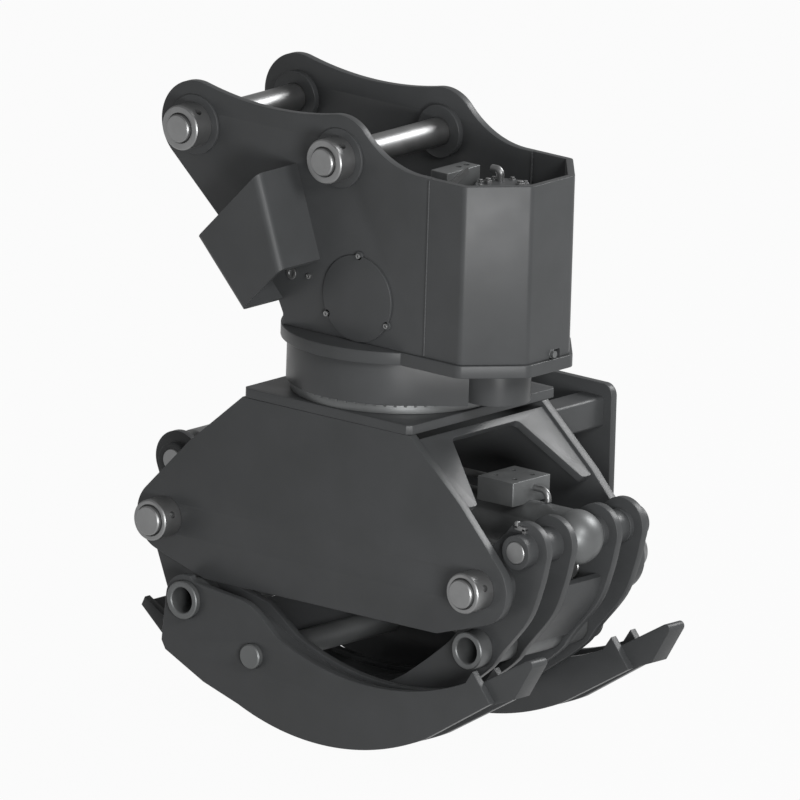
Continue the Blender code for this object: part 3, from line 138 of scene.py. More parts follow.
def beltLine(circles, count=44):
    # A belt stretched round circles (a, b, r): each pair's outer tangent leans by asin of the
    # difference of the radii over the distance, and an arc joins one tangent to the next.
    normals = []
    for index, (a, b, radius) in enumerate(circles):
        nextA, nextB, nextRadius = circles[(index + 1) % len(circles)]
        along = math.atan2(nextB - b, nextA - a)
        lean = math.asin((nextRadius - radius) / math.hypot(nextA - a, nextB - b))
        normals.append(along - math.pi / 2 - lean)
    pieces = []
    for index, (a, b, radius) in enumerate(circles):
        if radius <= 0:
            pieces.append(np.array([[a, b]]))
            continue
        turn = (normals[index] - normals[index - 1]) % (2 * math.pi)
        start = math.degrees(normals[index - 1])
        steps = max(2, round(count * turn / math.pi))
        pieces.append(arcLine(a, b, radius, start, start + math.degrees(turn), steps))
    return np.vstack(pieces)


def tineLine(centerX, drop, startX, endX, count=40, radius=0.725):
    # The tines' common arc: z = zc - sqrt(r^2 - (x - xc)^2), lowest at the drop below the pivot.
    across = np.linspace(startX, endX, count + 1)
    return np.column_stack([across, pivotZ - drop + radius - np.sqrt(radius**2 - (across - centerX) ** 2)])


def insetLine(line, distance):
    # Every point moves to the left of the line, along the bisector of the two normals beside it.
    ahead = np.roll(line, -1, axis=0) - line
    ahead /= np.maximum(np.linalg.norm(ahead, axis=1), 1e-9)[:, None]
    left = np.column_stack([-ahead[:, 1], ahead[:, 0]])
    before = np.roll(left, 1, axis=0)
    share = distance / np.maximum(0.35, 1 + (left * before).sum(axis=1))
    return line + (left + before) * share[:, None]


def turnedAs(line, sign):
    # The same line, running anticlockwise for sign 1 and clockwise for sign -1.
    line = np.asarray(line, float)
    keep = np.linalg.norm(line - np.roll(line, 1, axis=0), axis=1) > 1e-7
    line = line[keep]
    a, b = line.T
    area = (a * np.roll(b, -1) - np.roll(a, -1) * b).sum()
    return line if area * sign > 0 else line[::-1]


# Shells: dictionaries of points, faces and a flag for each face that is shaded smooth

axesOf = {
    "X": ((0, 1, 0), (0, 0, 1), (1, 0, 0)),
    "Y": ((1, 0, 0), (0, 0, 1), (0, 1, 0)),
    "Z": ((1, 0, 0), (0, 1, 0), (0, 0, 1)),
}


def shellOf(points, faces, smooth):
    return {"points": np.asarray(points, float).reshape(-1, 3), "faces": faces, "smooth": smooth}


def gridFaces(rows, columns, start=0, closedRows=False):
    # Quads of a grid of rows by columns whose columns close into a ring.
    row = np.arange(rows if closedRows else rows - 1)[:, None]
    column = np.arange(columns)[None, :]
    after = (column + 1) % columns
    above = (row + 1) % rows
    quads = [row * columns + column, row * columns + after,
             above * columns + after, above * columns + column]
    return (start + np.stack(quads, axis=-1).reshape(-1, 4)).tolist()


def capFaces(loops, starts):
    # Triangles that fill the outer loop, less its holes, numbered from each loop's start.
    numbers = np.concatenate([start + np.arange(len(loop)) for loop, start in zip(loops, starts)])
    found = tessellate_polygon([np.column_stack([loop, np.zeros(len(loop))]).tolist() for loop in loops])
    return numbers[np.array(found)].tolist()


def plateShell(outline, holes, low, high, axis="Y", edge=0.0015, steps=3, origin=(0, 0, 0)):
    # The outline is a path that carries a profile: from the low face a quarter round,
    # inset e (1 - sin t) and rise e (1 - cos t), then the wall, then a quarter round onto the high face.
    turn = np.linspace(0, math.pi / 2, steps + 1)
    inset = edge * (1 - np.sin(turn))
    rise = edge * (1 - np.cos(turn))
    insets = np.concatenate([inset, inset[::-1]])
    levels = np.concatenate([low + rise, high - rise[::-1]])
    loops = [turnedAs(outline, 1)] + [turnedAs(hole, -1) for hole in holes]
    across, upward, outward = np.array(axesOf[axis] if isinstance(axis, str) else axis, float)
    points, faces, starts = [], [], []
    total = 0
    for loop in loops:
        flat = np.stack([insetLine(loop, distance) for distance in insets])
        spots = flat[..., :1] * across + flat[..., 1:] * upward + levels[:, None, None] * outward
        points.append(spots.reshape(-1, 3))
        faces += gridFaces(len(levels), len(loop), total)
        starts.append(total)
        total += len(levels) * len(loop)
    smooth = [True] * len(faces)
    capLoops = [insetLine(loop, edge) for loop in loops]
    tops = [start + (len(levels) - 1) * len(loop) for loop, start in zip(loops, starts)]
    for firsts in (starts, tops):
        faces += capFaces(capLoops, firsts)
    smooth += [False] * (len(faces) - len(smooth))
    return shellOf(np.vstack(points) + np.array(origin, float), faces, smooth)


def softLine(profile, soft, closed):
    # Rounds the inner corners of a turned profile, and those at its ends too where it is closed.
    last = len(profile) - 1
    corners = [(a, r, soft if closed or 0 < index < last else 0) for index, (a, r) in enumerate(profile)]
    return filletLine(corners, 4)


def turnedShell(profile, center, axis, soft=0.0012, count=72, closed=False):
    # A profile of (distance s along the axis, radius r) turned round it:
    # centre + s w + r (cos t u + sin t v).
    line = softLine(profile, soft, closed) if soft else np.array(profile, float)
    across, upward, outward = np.array(axesOf[axis], float)
    turn = np.linspace(0, 2 * math.pi, count, endpoint=False)
    rings = np.cos(turn)[:, None] * across + np.sin(turn)[:, None] * upward
    spots = line[:, 0][:, None, None] * outward + line[:, 1][:, None, None] * rings
    faces = gridFaces(len(line), count, 0, closed)
    smooth = [True] * len(faces)
    if not closed:
        for row in (0, len(line) - 1):
            if line[row, 1] > 1e-6:
                faces.append((row * count + np.arange(count)).tolist())
                smooth.append(False)
    return shellOf(spots.reshape(-1, 3) + np.array(center, float), faces, smooth)


def discShell(center, axis, radius, low, high, soft=0.0012, count=72):
    return turnedShell([(low, 0), (low, radius), (high, radius), (high, 0)], center, axis, soft, count)


def ringShell(center, axis, outer, inner, low, high, soft=0.0012, count=72):
    profile = [(low, inner), (low, outer), (high, outer), (high, inner)]
    return turnedShell(profile, center, axis, soft, count, True)


def bossShell(x, z, outer, inner, low, high, soft=0.0012):
    return ringShell((x, 0, z), "Y", outer, inner, low, high, soft)


def carriedShell(path, section, reference=(0, 1, 0), closed=False):
    # A section (u, v) carried along a path: point + u side + v rise, where side is the reference
    # made square to the path's direction. The section may be one loop, or one loop for each point.
    path = np.asarray(path, float)
    if closed:
        ahead = np.roll(path, -1, axis=0) - np.roll(path, 1, axis=0)
    else:
        ahead = np.gradient(path, axis=0)
    ahead /= np.linalg.norm(ahead, axis=1)[:, None]
    side = np.array(reference, float) - ahead * (ahead @ np.array(reference, float))[:, None]
    side /= np.linalg.norm(side, axis=1)[:, None]
    rise = np.cross(ahead, side)
    section = np.asarray(section, float)
    if section.ndim == 2:
        section = np.repeat(section[None], len(path), axis=0)
    spots = path[:, None] + section[..., :1] * side[:, None] + section[..., 1:] * rise[:, None]
    count = section.shape[1]
    faces = gridFaces(len(path), count, 0, closed)
    smooth = [True] * len(faces)
    if not closed:
        for row in (0, len(path) - 1):
            faces.append((row * count + np.arange(count)).tolist())
            smooth.append(False)
    return shellOf(spots.reshape(-1, 3), faces, smooth)


def beadShell(path, radius=0.0035, reference=(0, 1, 0), closed=False, ripple=0.006):
    # Weld bead: a round section whose radius swells and shrinks by 12 per cent at every ripple.
    path = np.asarray(path, float)
    if closed:
        path = np.vstack([path, path[:1]])
    run = np.concatenate([[0], np.cumsum(np.linalg.norm(np.diff(path, axis=0), axis=1))])
    count = max(8, int(run[-1] / 0.0022))
    places = np.linspace(0, run[-1], count, endpoint=not closed)
    fine = np.column_stack([np.interp(places, run, path[:, index]) for index in range(3)])
    swell = radius * (1 + 0.12 * np.sin(2 * math.pi * places / ripple))
    section = swell[:, None, None] * ringLine(0, 0, 1, 10)[None]
    return carriedShell(fine, section, reference, closed)


def joinShells(shells):
    points, faces, smooth = [], [], []
    total = 0
    for shell in shells:
        points.append(shell["points"])
        faces += [[total + number for number in face] for face in shell["faces"]]
        smooth += shell["smooth"]
        total += len(shell["points"])
    return shellOf(np.vstack(points), faces, smooth)


def mirrorShell(shell, axis):
    # The same shell on the other side of the middle plane, with its faces turned back outwards.
    points = shell["points"].copy()
    points[:, "XYZ".index(axis)] *= -1
    return shellOf(points, [face[::-1] for face in shell["faces"]], shell["smooth"])


def makeMesh(name, shells):
    shell = joinShells(shells)
    mesh = bpy.data.meshes.new(name)
    mesh.from_pydata(shell["points"].tolist(), [], shell["faces"])
    mesh.polygons.foreach_set("use_smooth", shell["smooth"])
    builder = bmesh.new()
    builder.from_mesh(mesh)
    bmesh.ops.remove_doubles(builder, verts=builder.verts, dist=1e-6)
    bmesh.ops.recalc_face_normals(builder, faces=builder.faces)
    builder.to_mesh(mesh)
    builder.free()
    mesh.set_sharp_from_angle(angle=sharpAngle)
    return mesh


def linked(name, data):
    thing = bpy.data.objects.new(name, data)
    bpy.context.scene.collection.objects.link(thing)
    return thing


def nodeOf(name):
    # The node that a piece takes the place of: cheekFar takes that of cheek_far.
    return "".join("_" + letter.lower() if letter.isupper() else letter for letter in name)


def makePiece(name, shells, finish, body, node):
    # The node is its name, "own" for the one that nodeOf finds, or None for a piece without one.
    mesh = makeMesh(name, shells)
    mesh.materials.append(finish)
    piece = linked(name, mesh)
    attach(piece, body)
    if node:
        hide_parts(nodeOf(name) if node == "own" else node)
    return piece


def makePainted(name, shells, body, node="own"):
    return makePiece(name, shells, paint, body, node)


def makePair(name, shells, body):
    # The far piece and its mirror image on the near side.
    makePainted(name + "Far", shells, body)
    makePainted(name + "Near", [mirrorShell(shell, "Y") for shell in shells], body)


def makeSteel(name, shells, values, axis, center, body, node="own"):
    return makePiece(name, shells, steel(values, axis, center), body, node)


def cutPiece(piece, shells):
    # Takes closed shells out of a piece and keeps the result as its mesh.
    cutter = linked(piece.name + "_cutter", makeMesh(piece.name + "_cutter", shells))
    modifier = piece.modifiers.new("cut", "BOOLEAN")
    modifier.operation = "DIFFERENCE"
    modifier.solver = "EXACT"
    modifier.object = cutter
    bpy.context.view_layer.update()
    graph = bpy.context.evaluated_depsgraph_get()
    result = bpy.data.meshes.new_from_object(piece.evaluated_get(graph))
    finish = piece.data.materials[0]
    piece.modifiers.clear()
    piece.data = result
    result.materials.clear()
    result.materials.append(finish)
    result.set_sharp_from_angle(angle=sharpAngle)
    bpy.data.objects.remove(cutter, do_unlink=True)


# Finishes

def addNode(tree, kind, settings=(), inputs=()):
    node = tree.nodes.new(kind)
    for key, value in dict(settings).items():
        setattr(node, key, value)
    for key, value in dict(inputs).items():
        if isinstance(value, bpy.types.NodeSocket):
            tree.links.new(value, node.inputs[key])
        else:
            node.inputs[key].default_value = value
    return node


def startFinish(name, values):
    material = bpy.data.materials.new(name)
    material.use_nodes = True
    tree = material.node_tree
    shader = tree.nodes["Principled BSDF"]
    shader.inputs["Metallic"].default_value = values["metallic"]
    shader.inputs["Specular IOR Level"].default_value = values.get("specular", 0.5)
    where = addNode(tree, "ShaderNodeTexCoord").outputs["Object"]
    return material, tree, shader, where


def rangeOf(tree, value, low, high, fromLow=0.3, fromHigh=0.7):
    inputs = {"Value": value, "From Min": fromLow, "From Max": fromHigh, "To Min": low, "To Max": high}
    return addNode(tree, "ShaderNodeMapRange", (), inputs).outputs["Result"]


def noiseOf(tree, where, scale, detail=2.0, rough=0.5):
    inputs = {"Vector": where, "Scale": scale, "Detail": detail, "Roughness": rough}
    return addNode(tree, "ShaderNodeTexNoise", (), inputs).outputs[0]


def blendOf(tree, share, first, second):
    node = addNode(tree, "ShaderNodeMix", {"data_type": "RGBA"})
    for socket, value in ((node.inputs[0], share), (node.inputs[6], first), (node.inputs[7], second)):
        if isinstance(value, bpy.types.NodeSocket):
            tree.links.new(value, socket)
        else:
            socket.default_value = value
    return node.outputs[2]


def mathOf(tree, operation, *values):
    return addNode(tree, "ShaderNodeMath", {"operation": operation}, dict(enumerate(values))).outputs[0]


def setColor(tree, shader, color):
    tree.links.new(color, shader.inputs["Base Color"])


def setRough(tree, shader, values, noise, low=0.3, high=0.7):
    least, most = values["rough"] - values["roughSpread"], values["rough"] + values["roughSpread"]
    tree.links.new(rangeOf(tree, noise, least, most, low, high), shader.inputs["Roughness"])


def setBump(tree, shader, height, strength, depth):
    inputs = {"Strength": strength, "Distance": depth, "Height": height}
    tree.links.new(addNode(tree, "ShaderNodeBump", (), inputs).outputs["Normal"], shader.inputs["Normal"])


def showMix(tree, share, first, second, output):
    # The first shader where the share is 0, the second where it is 1.
    inputs = {0: share, 1: first.outputs[0], 2: second.outputs[0]}
    mix = addNode(tree, "ShaderNodeMixShader", (), inputs)
    tree.links.new(mix.outputs[0], tree.nodes[output].inputs["Surface"])


def paintFinish(name, values):
    # Satin paint over steel: faint orange peel, slow mottling, and rubbed paint where the real
    # edge is sharp, found from how far the rounded normal turns away from the face's own.
    material, tree, shader, where = startFinish(name, values)
    mottle = rangeOf(tree, noiseOf(tree, where, values["mottleScale"], 4.0, 0.6), 0.0, 1.0)
    color = blendOf(tree, mottle, (*values["dark"], 1), (*values["light"], 1))
    rounded = addNode(tree, "ShaderNodeBevel", {"samples": 4}, {"Radius": values["wearWidth"]})
    real = addNode(tree, "ShaderNodeNewGeometry")
    dot = addNode(tree, "ShaderNodeVectorMath", {"operation": "DOT_PRODUCT"},
                  {0: rounded.outputs["Normal"], 1: real.outputs["Normal"]})
    edge = rangeOf(tree, dot.outputs["Value"], 1.0, 0.0, *values["edgeRange"])
    patches = noiseOf(tree, where, values["wearScale"], 5.0, 0.7)
    wear = mathOf(tree, "MULTIPLY", edge, rangeOf(tree, patches, 0.0, 1.0, *values["patchRange"]))
    wear = mathOf(tree, "MULTIPLY", wear, values["wearShare"])
    setColor(tree, shader, blendOf(tree, wear, color, (*values["worn"], 1)))
    setRough(tree, shader, values, noiseOf(tree, where, values["smudgeScale"], 3.0))
    peel = noiseOf(tree, where, values["peelScale"], 1.0)
    setBump(tree, shader, peel, values["peel"], values["peelDepth"])
    return material


def steelFinish(name, values, axis, center):
    # Turned steel: lathe lines from noise that knows only the distance along the axis and the
    # distance from it, so that they run round the bar and make rings on its ends.
    material, tree, shader, where = startFinish(name, values)
    inputs = {"Vector": where, "Location": [-float(value) for value in center]}
    back = addNode(tree, "ShaderNodeMapping", (), inputs)
    parts = addNode(tree, "ShaderNodeSeparateXYZ", (), {0: back.outputs[0]}).outputs
    squares = [mathOf(tree, "MULTIPLY", part, part)
               for part, letter in zip(parts, "XYZ") if letter != axis]
    radial = mathOf(tree, "SQRT", mathOf(tree, "ADD", *squares))
    inputs = {0: parts["XYZ".index(axis)], 1: radial}
    lines = addNode(tree, "ShaderNodeCombineXYZ", (), inputs).outputs[0]
    turning = noiseOf(tree, lines, values["lineScale"], 3.0, 0.7)
    cloud = noiseOf(tree, where, values["cloudScale"], 4.0, 0.6)
    shade = rangeOf(tree, cloud, 0.0, 1.0)
    setColor(tree, shader, blendOf(tree, shade, (*values["dark"], 1), (*values["light"], 1)))
    setRough(tree, shader, values, mathOf(tree, "ADD", turning, cloud), 0.7, 1.3)
    setBump(tree, shader, turning, values["lines"], values["lineDepth"])
    return material


charcoal = {
    "dark": (0.047, 0.049, 0.050), "light": (0.057, 0.059, 0.061), "worn": (0.130, 0.132, 0.134),
    "metallic": 0.0, "specular": 0.22, "rough": 0.38, "roughSpread": 0.035, "smudgeScale": 14.0,
    "mottleScale": 5.0, "wearWidth": 0.004, "wearScale": 38.0, "wearShare": 0.35,
    "edgeRange": (0.80, 0.985), "patchRange": (0.46, 0.66), "peelScale": 700.0, "peel": 0.10,
    "peelDepth": 0.0004,
}
brightSteel = {
    "dark": (0.205, 0.207, 0.208), "light": (0.255, 0.257, 0.258), "metallic": 0.85, "rough": 0.40,
    "roughSpread": 0.05, "lineScale": 420.0, "cloudScale": 16.0, "lines": 0.12, "lineDepth": 0.0003,
}
greySteel = {
    "dark": (0.118, 0.122, 0.123), "light": (0.142, 0.147, 0.148), "metallic": 0.6, "rough": 0.46,
    "roughSpread": 0.05, "lineScale": 300.0, "cloudScale": 12.0, "lines": 0.10, "lineDepth": 0.0003,
}
paint = paintFinish("charcoal_paint", charcoal)
madeSteels = {}


def steel(values, axis, center):
    # One finish for each axis that something is turned on.
    kind = "bright" if values is brightSteel else "grey"
    key = kind + "_" + axis + "".join("_%d" % round(1000 * value) for value in center).replace("-", "m")
    if key not in madeSteels:
        madeSteels[key] = steelFinish(key, values, axis, center)
    return madeSteels[key]


print("finishes made")


# Bars, rings and tubes that a lathe makes: their place and size are the node's own box

lathe = {"chamfer": 0.003, "topPinChamfer": 0.002, "tubeBore": 0.032, "tubeChamfer": 0.0025}
collar = {
    "chamfer": 0.0030, "boreChamfer": 0.0035, "boltHole": 0.009, "boltAngle": 50.0,
    "pivotBoltAngle": 20.0,
}


def barOf(node):
    # Middle, radius and both ends of a bar along Y.
    low, high = spanOf(node)
    center = (low + high) / 2
    center[1] = 0
    return center, (high - low)[2] / 2, low[1], high[1]


def boreOf(node, space=fitGap):
    return barOf(node)[1] + space


def makeBar(name, node, body, values=brightSteel, chamfer=lathe["chamfer"]):
    center, radius, low, high = barOf(node)
    profile = [(low, radius - chamfer), (low + chamfer, radius),
               (high - chamfer, radius), (high, radius - chamfer)]
    makeSteel(name, [turnedShell(profile, center, "Y", 0.0008)], values, "Y", center, body, node)


def makeTube(name, node, body):
    center, radius, low, high = barOf(node)
    bore, chamfer = lathe["tubeBore"], lathe["tubeChamfer"]
    profile = [(low, bore + chamfer), (low, radius - chamfer), (low + chamfer, radius),
               (high - chamfer, radius), (high, radius - chamfer), (high, bore + chamfer),
               (high - chamfer, bore), (low + chamfer, bore)]
    shell = turnedShell(profile, center, "Y", 0.0006, closed=True)
    makeSteel(name, [shell], greySteel, "Y", center, body, node)


def makeCollar(name, node, body, pin, boltAngle):
    # Ring with a chamfered bore and a cross hole for the bolt that locks the pin.
    center, radius, low, high = barOf(node)
    bore, cut, boreCut = boreOf(pin), collar["chamfer"], collar["boreChamfer"]
    side = 1 if low < 0 else -1
    outerEnd, innerEnd = (low, high) if low < 0 else (high, low)
    profile = [(innerEnd, bore), (innerEnd, radius), (outerEnd + cut * side, radius),
               (outerEnd, radius - cut), (outerEnd, bore + boreCut), (outerEnd + boreCut * side, bore)]
    shell = turnedShell(profile, center, "Y", 0.0007, closed=True)
    piece = makeSteel(name, [shell], brightSteel, "Y", center, body, node)
    turn = math.radians(boltAngle)
    spot = center + np.array([0, (low + high) / 2, 0])
    pointing = np.array([math.cos(turn), 0, math.sin(turn)])
    path = spot + np.linspace(0.0, radius + 0.01, 4)[:, None] * pointing
    cutPiece(piece, [carriedShell(path, ringLine(0, 0, collar["boltHole"], 32))])


def makePinsAndTubes():
    for label in ("dipper", "link"):
        makeBar(label + "Pin", label + "_pin", "headstock")
        for place in ("near", "far"):
            makeCollar(label + "Collar_" + place, label + "_collar_" + place, "headstock",
                       "link_pin", collar["boltAngle"])
    for label in ("left", "right"):
        for place in ("near", "far"):
            stem = label + "_pivot_" + place
            makeBar(label + "PivotPin_" + place, stem + "_pin", "lower_frame")
            makeCollar(label + "PivotCollar_" + place, stem + "_collar", "lower_frame",
                       "right_pivot_near_pin", collar["pivotBoltAngle"])
        makeTube(label + "CrossTube", label + "_cross_tube", label + "_arm")
        makeBar(label + "TopPin", label + "_top_pin", label + "_arm", chamfer=lathe["topPinChamfer"])
    makeBar("leftCrossBar", "left_cross_bar", "left_arm", greySteel)
    print("pins, collars and tubes made")


# Bracket

bracket = {
    "lobe": 0.108, "valley": 0.083, "shoulder": 0.250, "heelX": -0.195, "heelRise": 0.058,
    "heelCut": (0.015, 0.030), "boss": 0.075, "bossHeight": 0.006, "bossSoft": 0.0015,
    "innerBoss": 0.066, "innerBossHeight": 0.016, "innerBossSoft": 0.002, "edge": 0.0016,
    "seamBead": 0.0026, "seamEnd": 0.004, "seamRipple": 0.010,
}


def cheekLine():
    # Lobes round both pins, a shallow valley between them, and a hollow shoulder down to the box.
    seamX = spanOf("cheek_near")[1][0]
    lobe, valley, shoulder = bracket["lobe"], bracket["valley"], bracket["shoulder"]
    half = (linkX - dipperX) / 2
    valleyRadius = (half**2 + valley**2 - lobe**2) / (2 * (lobe - valley))
    valleyZ = valleyRadius + valley
    lean = math.degrees(math.atan2(valleyZ, half))
    shoulderX = math.sqrt(lobe**2 + 2 * lobe * shoulder)
    shoulderAngle = math.degrees(math.atan2(shoulder, shoulderX))
    across, down = bracket["heelCut"]
    heelX, heelZ = bracket["heelX"] - across, baseTop + bracket["heelRise"]
    toHeel = math.hypot(heelX - dipperX, heelZ)
    heelAngle = math.degrees(math.atan2(heelZ, heelX - dipperX) - math.acos(lobe / toHeel))
    low = baseTop + fitGap
    return np.vstack([
        [(seamX, low), (seamX, 0)],
        arcLine(linkX + shoulderX, shoulder, shoulder, 270, 180 + shoulderAngle, 30),
        arcLine(linkX, 0, lobe, shoulderAngle, 180 - lean, 40)[1:],
        arcLine(linkX - half, valleyZ, valleyRadius, -lean, lean - 180, 30)[1:],
        arcLine(dipperX, 0, lobe, lean, 360 + heelAngle, 70)[1:],
        [(heelX, heelZ), (bracket["heelX"], heelZ - down), (bracket["heelX"], low)],
    ])


def makeCheeks():
    bore = boreOf("link_pin")
    rise, innerRise = bracket["bossHeight"], bracket["innerBossHeight"]
    inner, outer = spanOf("cheek_far")[0][1] + innerRise, spanOf("cheek_far")[1][1] - rise
    holes = [ringLine(x, 0, bore) for x in (linkX, dipperX)]
    shells = [plateShell(cheekLine(), holes, inner, outer, edge=bracket["edge"])]
    for x in (linkX, dipperX):
        shells += [bossShell(x, 0, bracket["boss"], bore, outer - overlap, outer + rise,
                             bracket["bossSoft"]),
                   bossShell(x, 0, bracket["innerBoss"], bore, inner - innerRise, inner + overlap,
                             bracket["innerBossSoft"])]
    makePair("cheek", shells, "headstock")
    seamX, end = spanOf("cheek_near")[1][0], bracket["seamEnd"]
    beads = [beadShell([(seamX, y, baseTop + end), (seamX, y, -end)], bracket["seamBead"],
                       ripple=bracket["seamRipple"]) for y in (outer, inner)]
    beads += [mirrorShell(bead, "Y") for bead in beads]
    makePainted("seamBeads", beads, "headstock", None)
    return outer


frontBox = {
    "wall": 0.018, "bend": 0.022, "bendSpare": 0.002, "corner": 0.369, "front": 0.161, "edge": 0.0015,
    "notchY": 0.022, "notchWidth": 0.040, "notchHeight": 0.022, "notchCorner": 0.004,
    "notchDepth": 0.05, "notchEnd": 0.6,
}


def boxPath(outset, outer):
    # Half octagon round the slewing motor, moved outwards by a distance.
    frontX = spanOf("front_box")[1][0]
    half = frontBox["front"] / 2
    lean = math.atan2(outer - half, frontX - frontBox["corner"])
    step = outset * math.tan((math.pi / 2 - lean) / 2)
    slope = outset * math.tan(lean / 2)
    return [(frontBox["corner"] + slope, -outer - outset), (frontX + outset, -half - step),
            (frontX + outset, half + step), (frontBox["corner"] + slope, outer + outset)]


def makeFrontBox(outer):
    low, high = spanOf("front_box")
    wall, bend = frontBox["wall"], frontBox["bend"]
    loops = []
    for inset, radius in ((0, bend), (wall, bend - wall + frontBox["bendSpare"])):
        path = [(x, y, radius) for x, y in boxPath(-inset, outer)]
        loops.append(filletLine([(low[0], inset - outer, 0), *path, (low[0], outer - inset, 0)], 10))
    outline = np.vstack([loops[0], loops[1][::-1]])
    shell = plateShell(outline, [], baseTop + fitGap, 0, "Z", frontBox["edge"])
    box = makePainted("frontBox", [shell], "headstock")
    half, middle = frontBox["notchWidth"] / 2, frontBox["notchY"]
    notch = boxLine(middle - half, middle + half, baseTop - cutSpare, baseTop + frontBox["notchHeight"],
                    frontBox["notchCorner"])
    cutPiece(box, [plateShell(notch, [], high[0] - frontBox["notchDepth"], frontBox["notchEnd"], "X", 0.0)])


basePlate = {
    "radius": 0.287, "ledge": 0.008, "corner": 0.030, "edge": 0.002, "bore": 0.150, "shaftBore": 0.034,
}


def makeBasePlate(outer):
    ledge = boxPath(basePlate["ledge"], outer)
    radius, corner = basePlate["radius"], basePlate["corner"]
    meet = math.degrees(math.asin((outer + basePlate["ledge"]) / radius))
    touch = radius * math.cos(math.radians(meet))
    corners = [(touch, ledge[0][1], 0), *((x, y, corner) for x, y in ledge), (touch, ledge[3][1], 0)]
    outline = np.vstack([filletLine(corners, 12), arcLine(0, 0, radius, meet, 360 - meet, 110)[1:-1]])
    holes = [ringLine(0, 0, basePlate["bore"]), ringLine(driveX, 0, basePlate["shaftBore"], 48)]
    shell = plateShell(outline, holes, baseLow, baseTop, "Z", basePlate["edge"])
    makePainted("basePlate", [shell], "headstock")


stub = {
    "radius": 0.0085, "nut": 0.0115, "nutLength": 0.016, "reach": 0.010, "aside": 0.010,
    "rise": 0.0125, "behind": 0.020,
}


def makeHoseStub():
    # Screwed hose end that stands in the notch at the foot of the box.
    face, radius = spanOf("front_box")[1][0], stub["radius"]
    place = (0, frontBox["notchY"] - stub["aside"], baseTop + stub["rise"])
    back = face - frontBox["wall"] - stub["behind"]
    pipe = turnedShell([(back, radius), (face + stub["reach"], radius)], place, "X", 0)
    nut = plateShell(ringLine(*place[1:], stub["nut"], 6), [], face - stub["nutLength"], face + overlap,
                     "X", 0.0008)
    makeSteel("hoseStub", [pipe, nut], greySteel, "X", place, "headstock", None)


guard = {
    "depth": 0.154, "wall": 0.010, "bend": 0.022,
    "topLeft": (-0.352, -0.237), "topRight": (-0.165, -0.039),
    "lowRight": (-0.082, -0.266), "lowLeft": (-0.204, -0.392),
}


def guardSection(left, right, base):
    # U-shaped section along one end of the guard: out from the cheek, across, and back again.
    start, end = np.array(left), np.array(right)
    width = np.linalg.norm(end - start)
    loops = []
    for inset in (0, guard["wall"]):
        depth = guard["depth"] - inset
        bend = guard["bend"] - inset
        half = np.vstack([[(inset, 0)], arcLine(inset + bend, depth - bend, bend, 180, 90, 10)])
        other = np.column_stack([width - half[::-1, 0], half[::-1, 1]])
        loops.append(np.vstack([half, other]))
    loop = np.vstack([loops[0], loops[1][::-1]])
    flat = start + loop[:, :1] / width * (end - start)
    return np.column_stack([flat[:, 0], -(base + loop[:, 1]), flat[:, 1]])


def makeHoseGuard(outer):
    # Ruled surface between the two end sections: top + s (low - top).
    top = guardSection(guard["topLeft"], guard["topRight"], outer + fitGap)
    low = guardSection(guard["lowLeft"], guard["lowRight"], outer + fitGap)
    share = np.linspace(0, 1, 5)[:, None, None]
    points = top + share * (low - top)
    count = len(top)
    faces = gridFaces(5, count)
    smooth = [True] * len(faces)
    half = count // 2
    strip = np.arange(half - 1)
    for row in (0, 4):
        quads = np.column_stack([strip, strip + 1, count - 2 - strip, count - 1 - strip]) + row * count
        faces += quads.tolist()
        smooth += [False] * len(quads)
    makePainted("hoseGuard", [shellOf(points.reshape(-1, 3), faces, smooth)], "headstock")


cover = {
    "x": 0.043, "z": -0.3425, "radius": 0.109, "thickness": 0.006, "soft": 0.0013, "ear": 0.011,
    "ears": (89, 210, 332), "screw": 0.0068, "screwHeight": 0.005, "socket": 0.5, "floor": (0.6, 0.35),
    "spareScrew": (-0.115, -0.315), "boss": (-0.170, -0.318), "bossRadius": 0.015, "bossHeight": 0.004,
}


def makeAccessCover(outer):
    # Round lid with three ears. Its middle stays bare.
    face = -(outer + fitGap)
    top = face - cover["thickness"]
    x, z, radius = cover["x"], cover["z"], cover["radius"]
    shells = [discShell((x, 0, z), "Y", radius, face, top, cover["soft"], 120)]
    screws = []
    for angle in np.radians(cover["ears"]):
        spot = (x + radius * math.cos(angle), z + radius * math.sin(angle))
        shells.append(discShell((spot[0], 0, spot[1]), "Y", cover["ear"], face, top, 0.001, 40))
        screws += screwShells(spot, top)
    makePainted("accessCover", shells, "headstock")
    screws += screwShells(cover["spareScrew"], face)
    bossX, bossZ = cover["boss"]
    reach, top, sunk = cover["bossRadius"], face - cover["bossHeight"], face - 0.0005
    profile = [(face, 0), (face, reach), (top, reach), (top, reach / 2), (sunk, reach / 2), (sunk, 0)]
    screws.append(turnedShell(profile, (bossX, 0, bossZ), "Y", 0.0008, 48))
    makeSteel("coverScrews", screws, brightSteel, "Y", (x, 0, z), "headstock", None)


def screwShells(spot, level):
    # Head that stands out towards -Y: a ring round a six-sided socket, and the socket's floor.
    radius, height, low = cover["screw"], cover["screwHeight"], level + overlap
    socket = ringLine(*spot, radius * cover["socket"], 6)
    wide, tall = cover["floor"]
    return [plateShell(ringLine(*spot, radius, 36), [socket], level - height, low, "Y", 0.0006),
            plateShell(ringLine(*spot, radius * wide, 24), [], level - height * tall, low, "Y", 0.0001)]


def makeBracket():
    outer = makeCheeks()
    makeFrontBox(outer)
    makeBasePlate(outer)
    makeHoseStub()
    makeHoseGuard(outer)
    makeAccessCover(outer)
    print("bracket made")


# Slewing drive

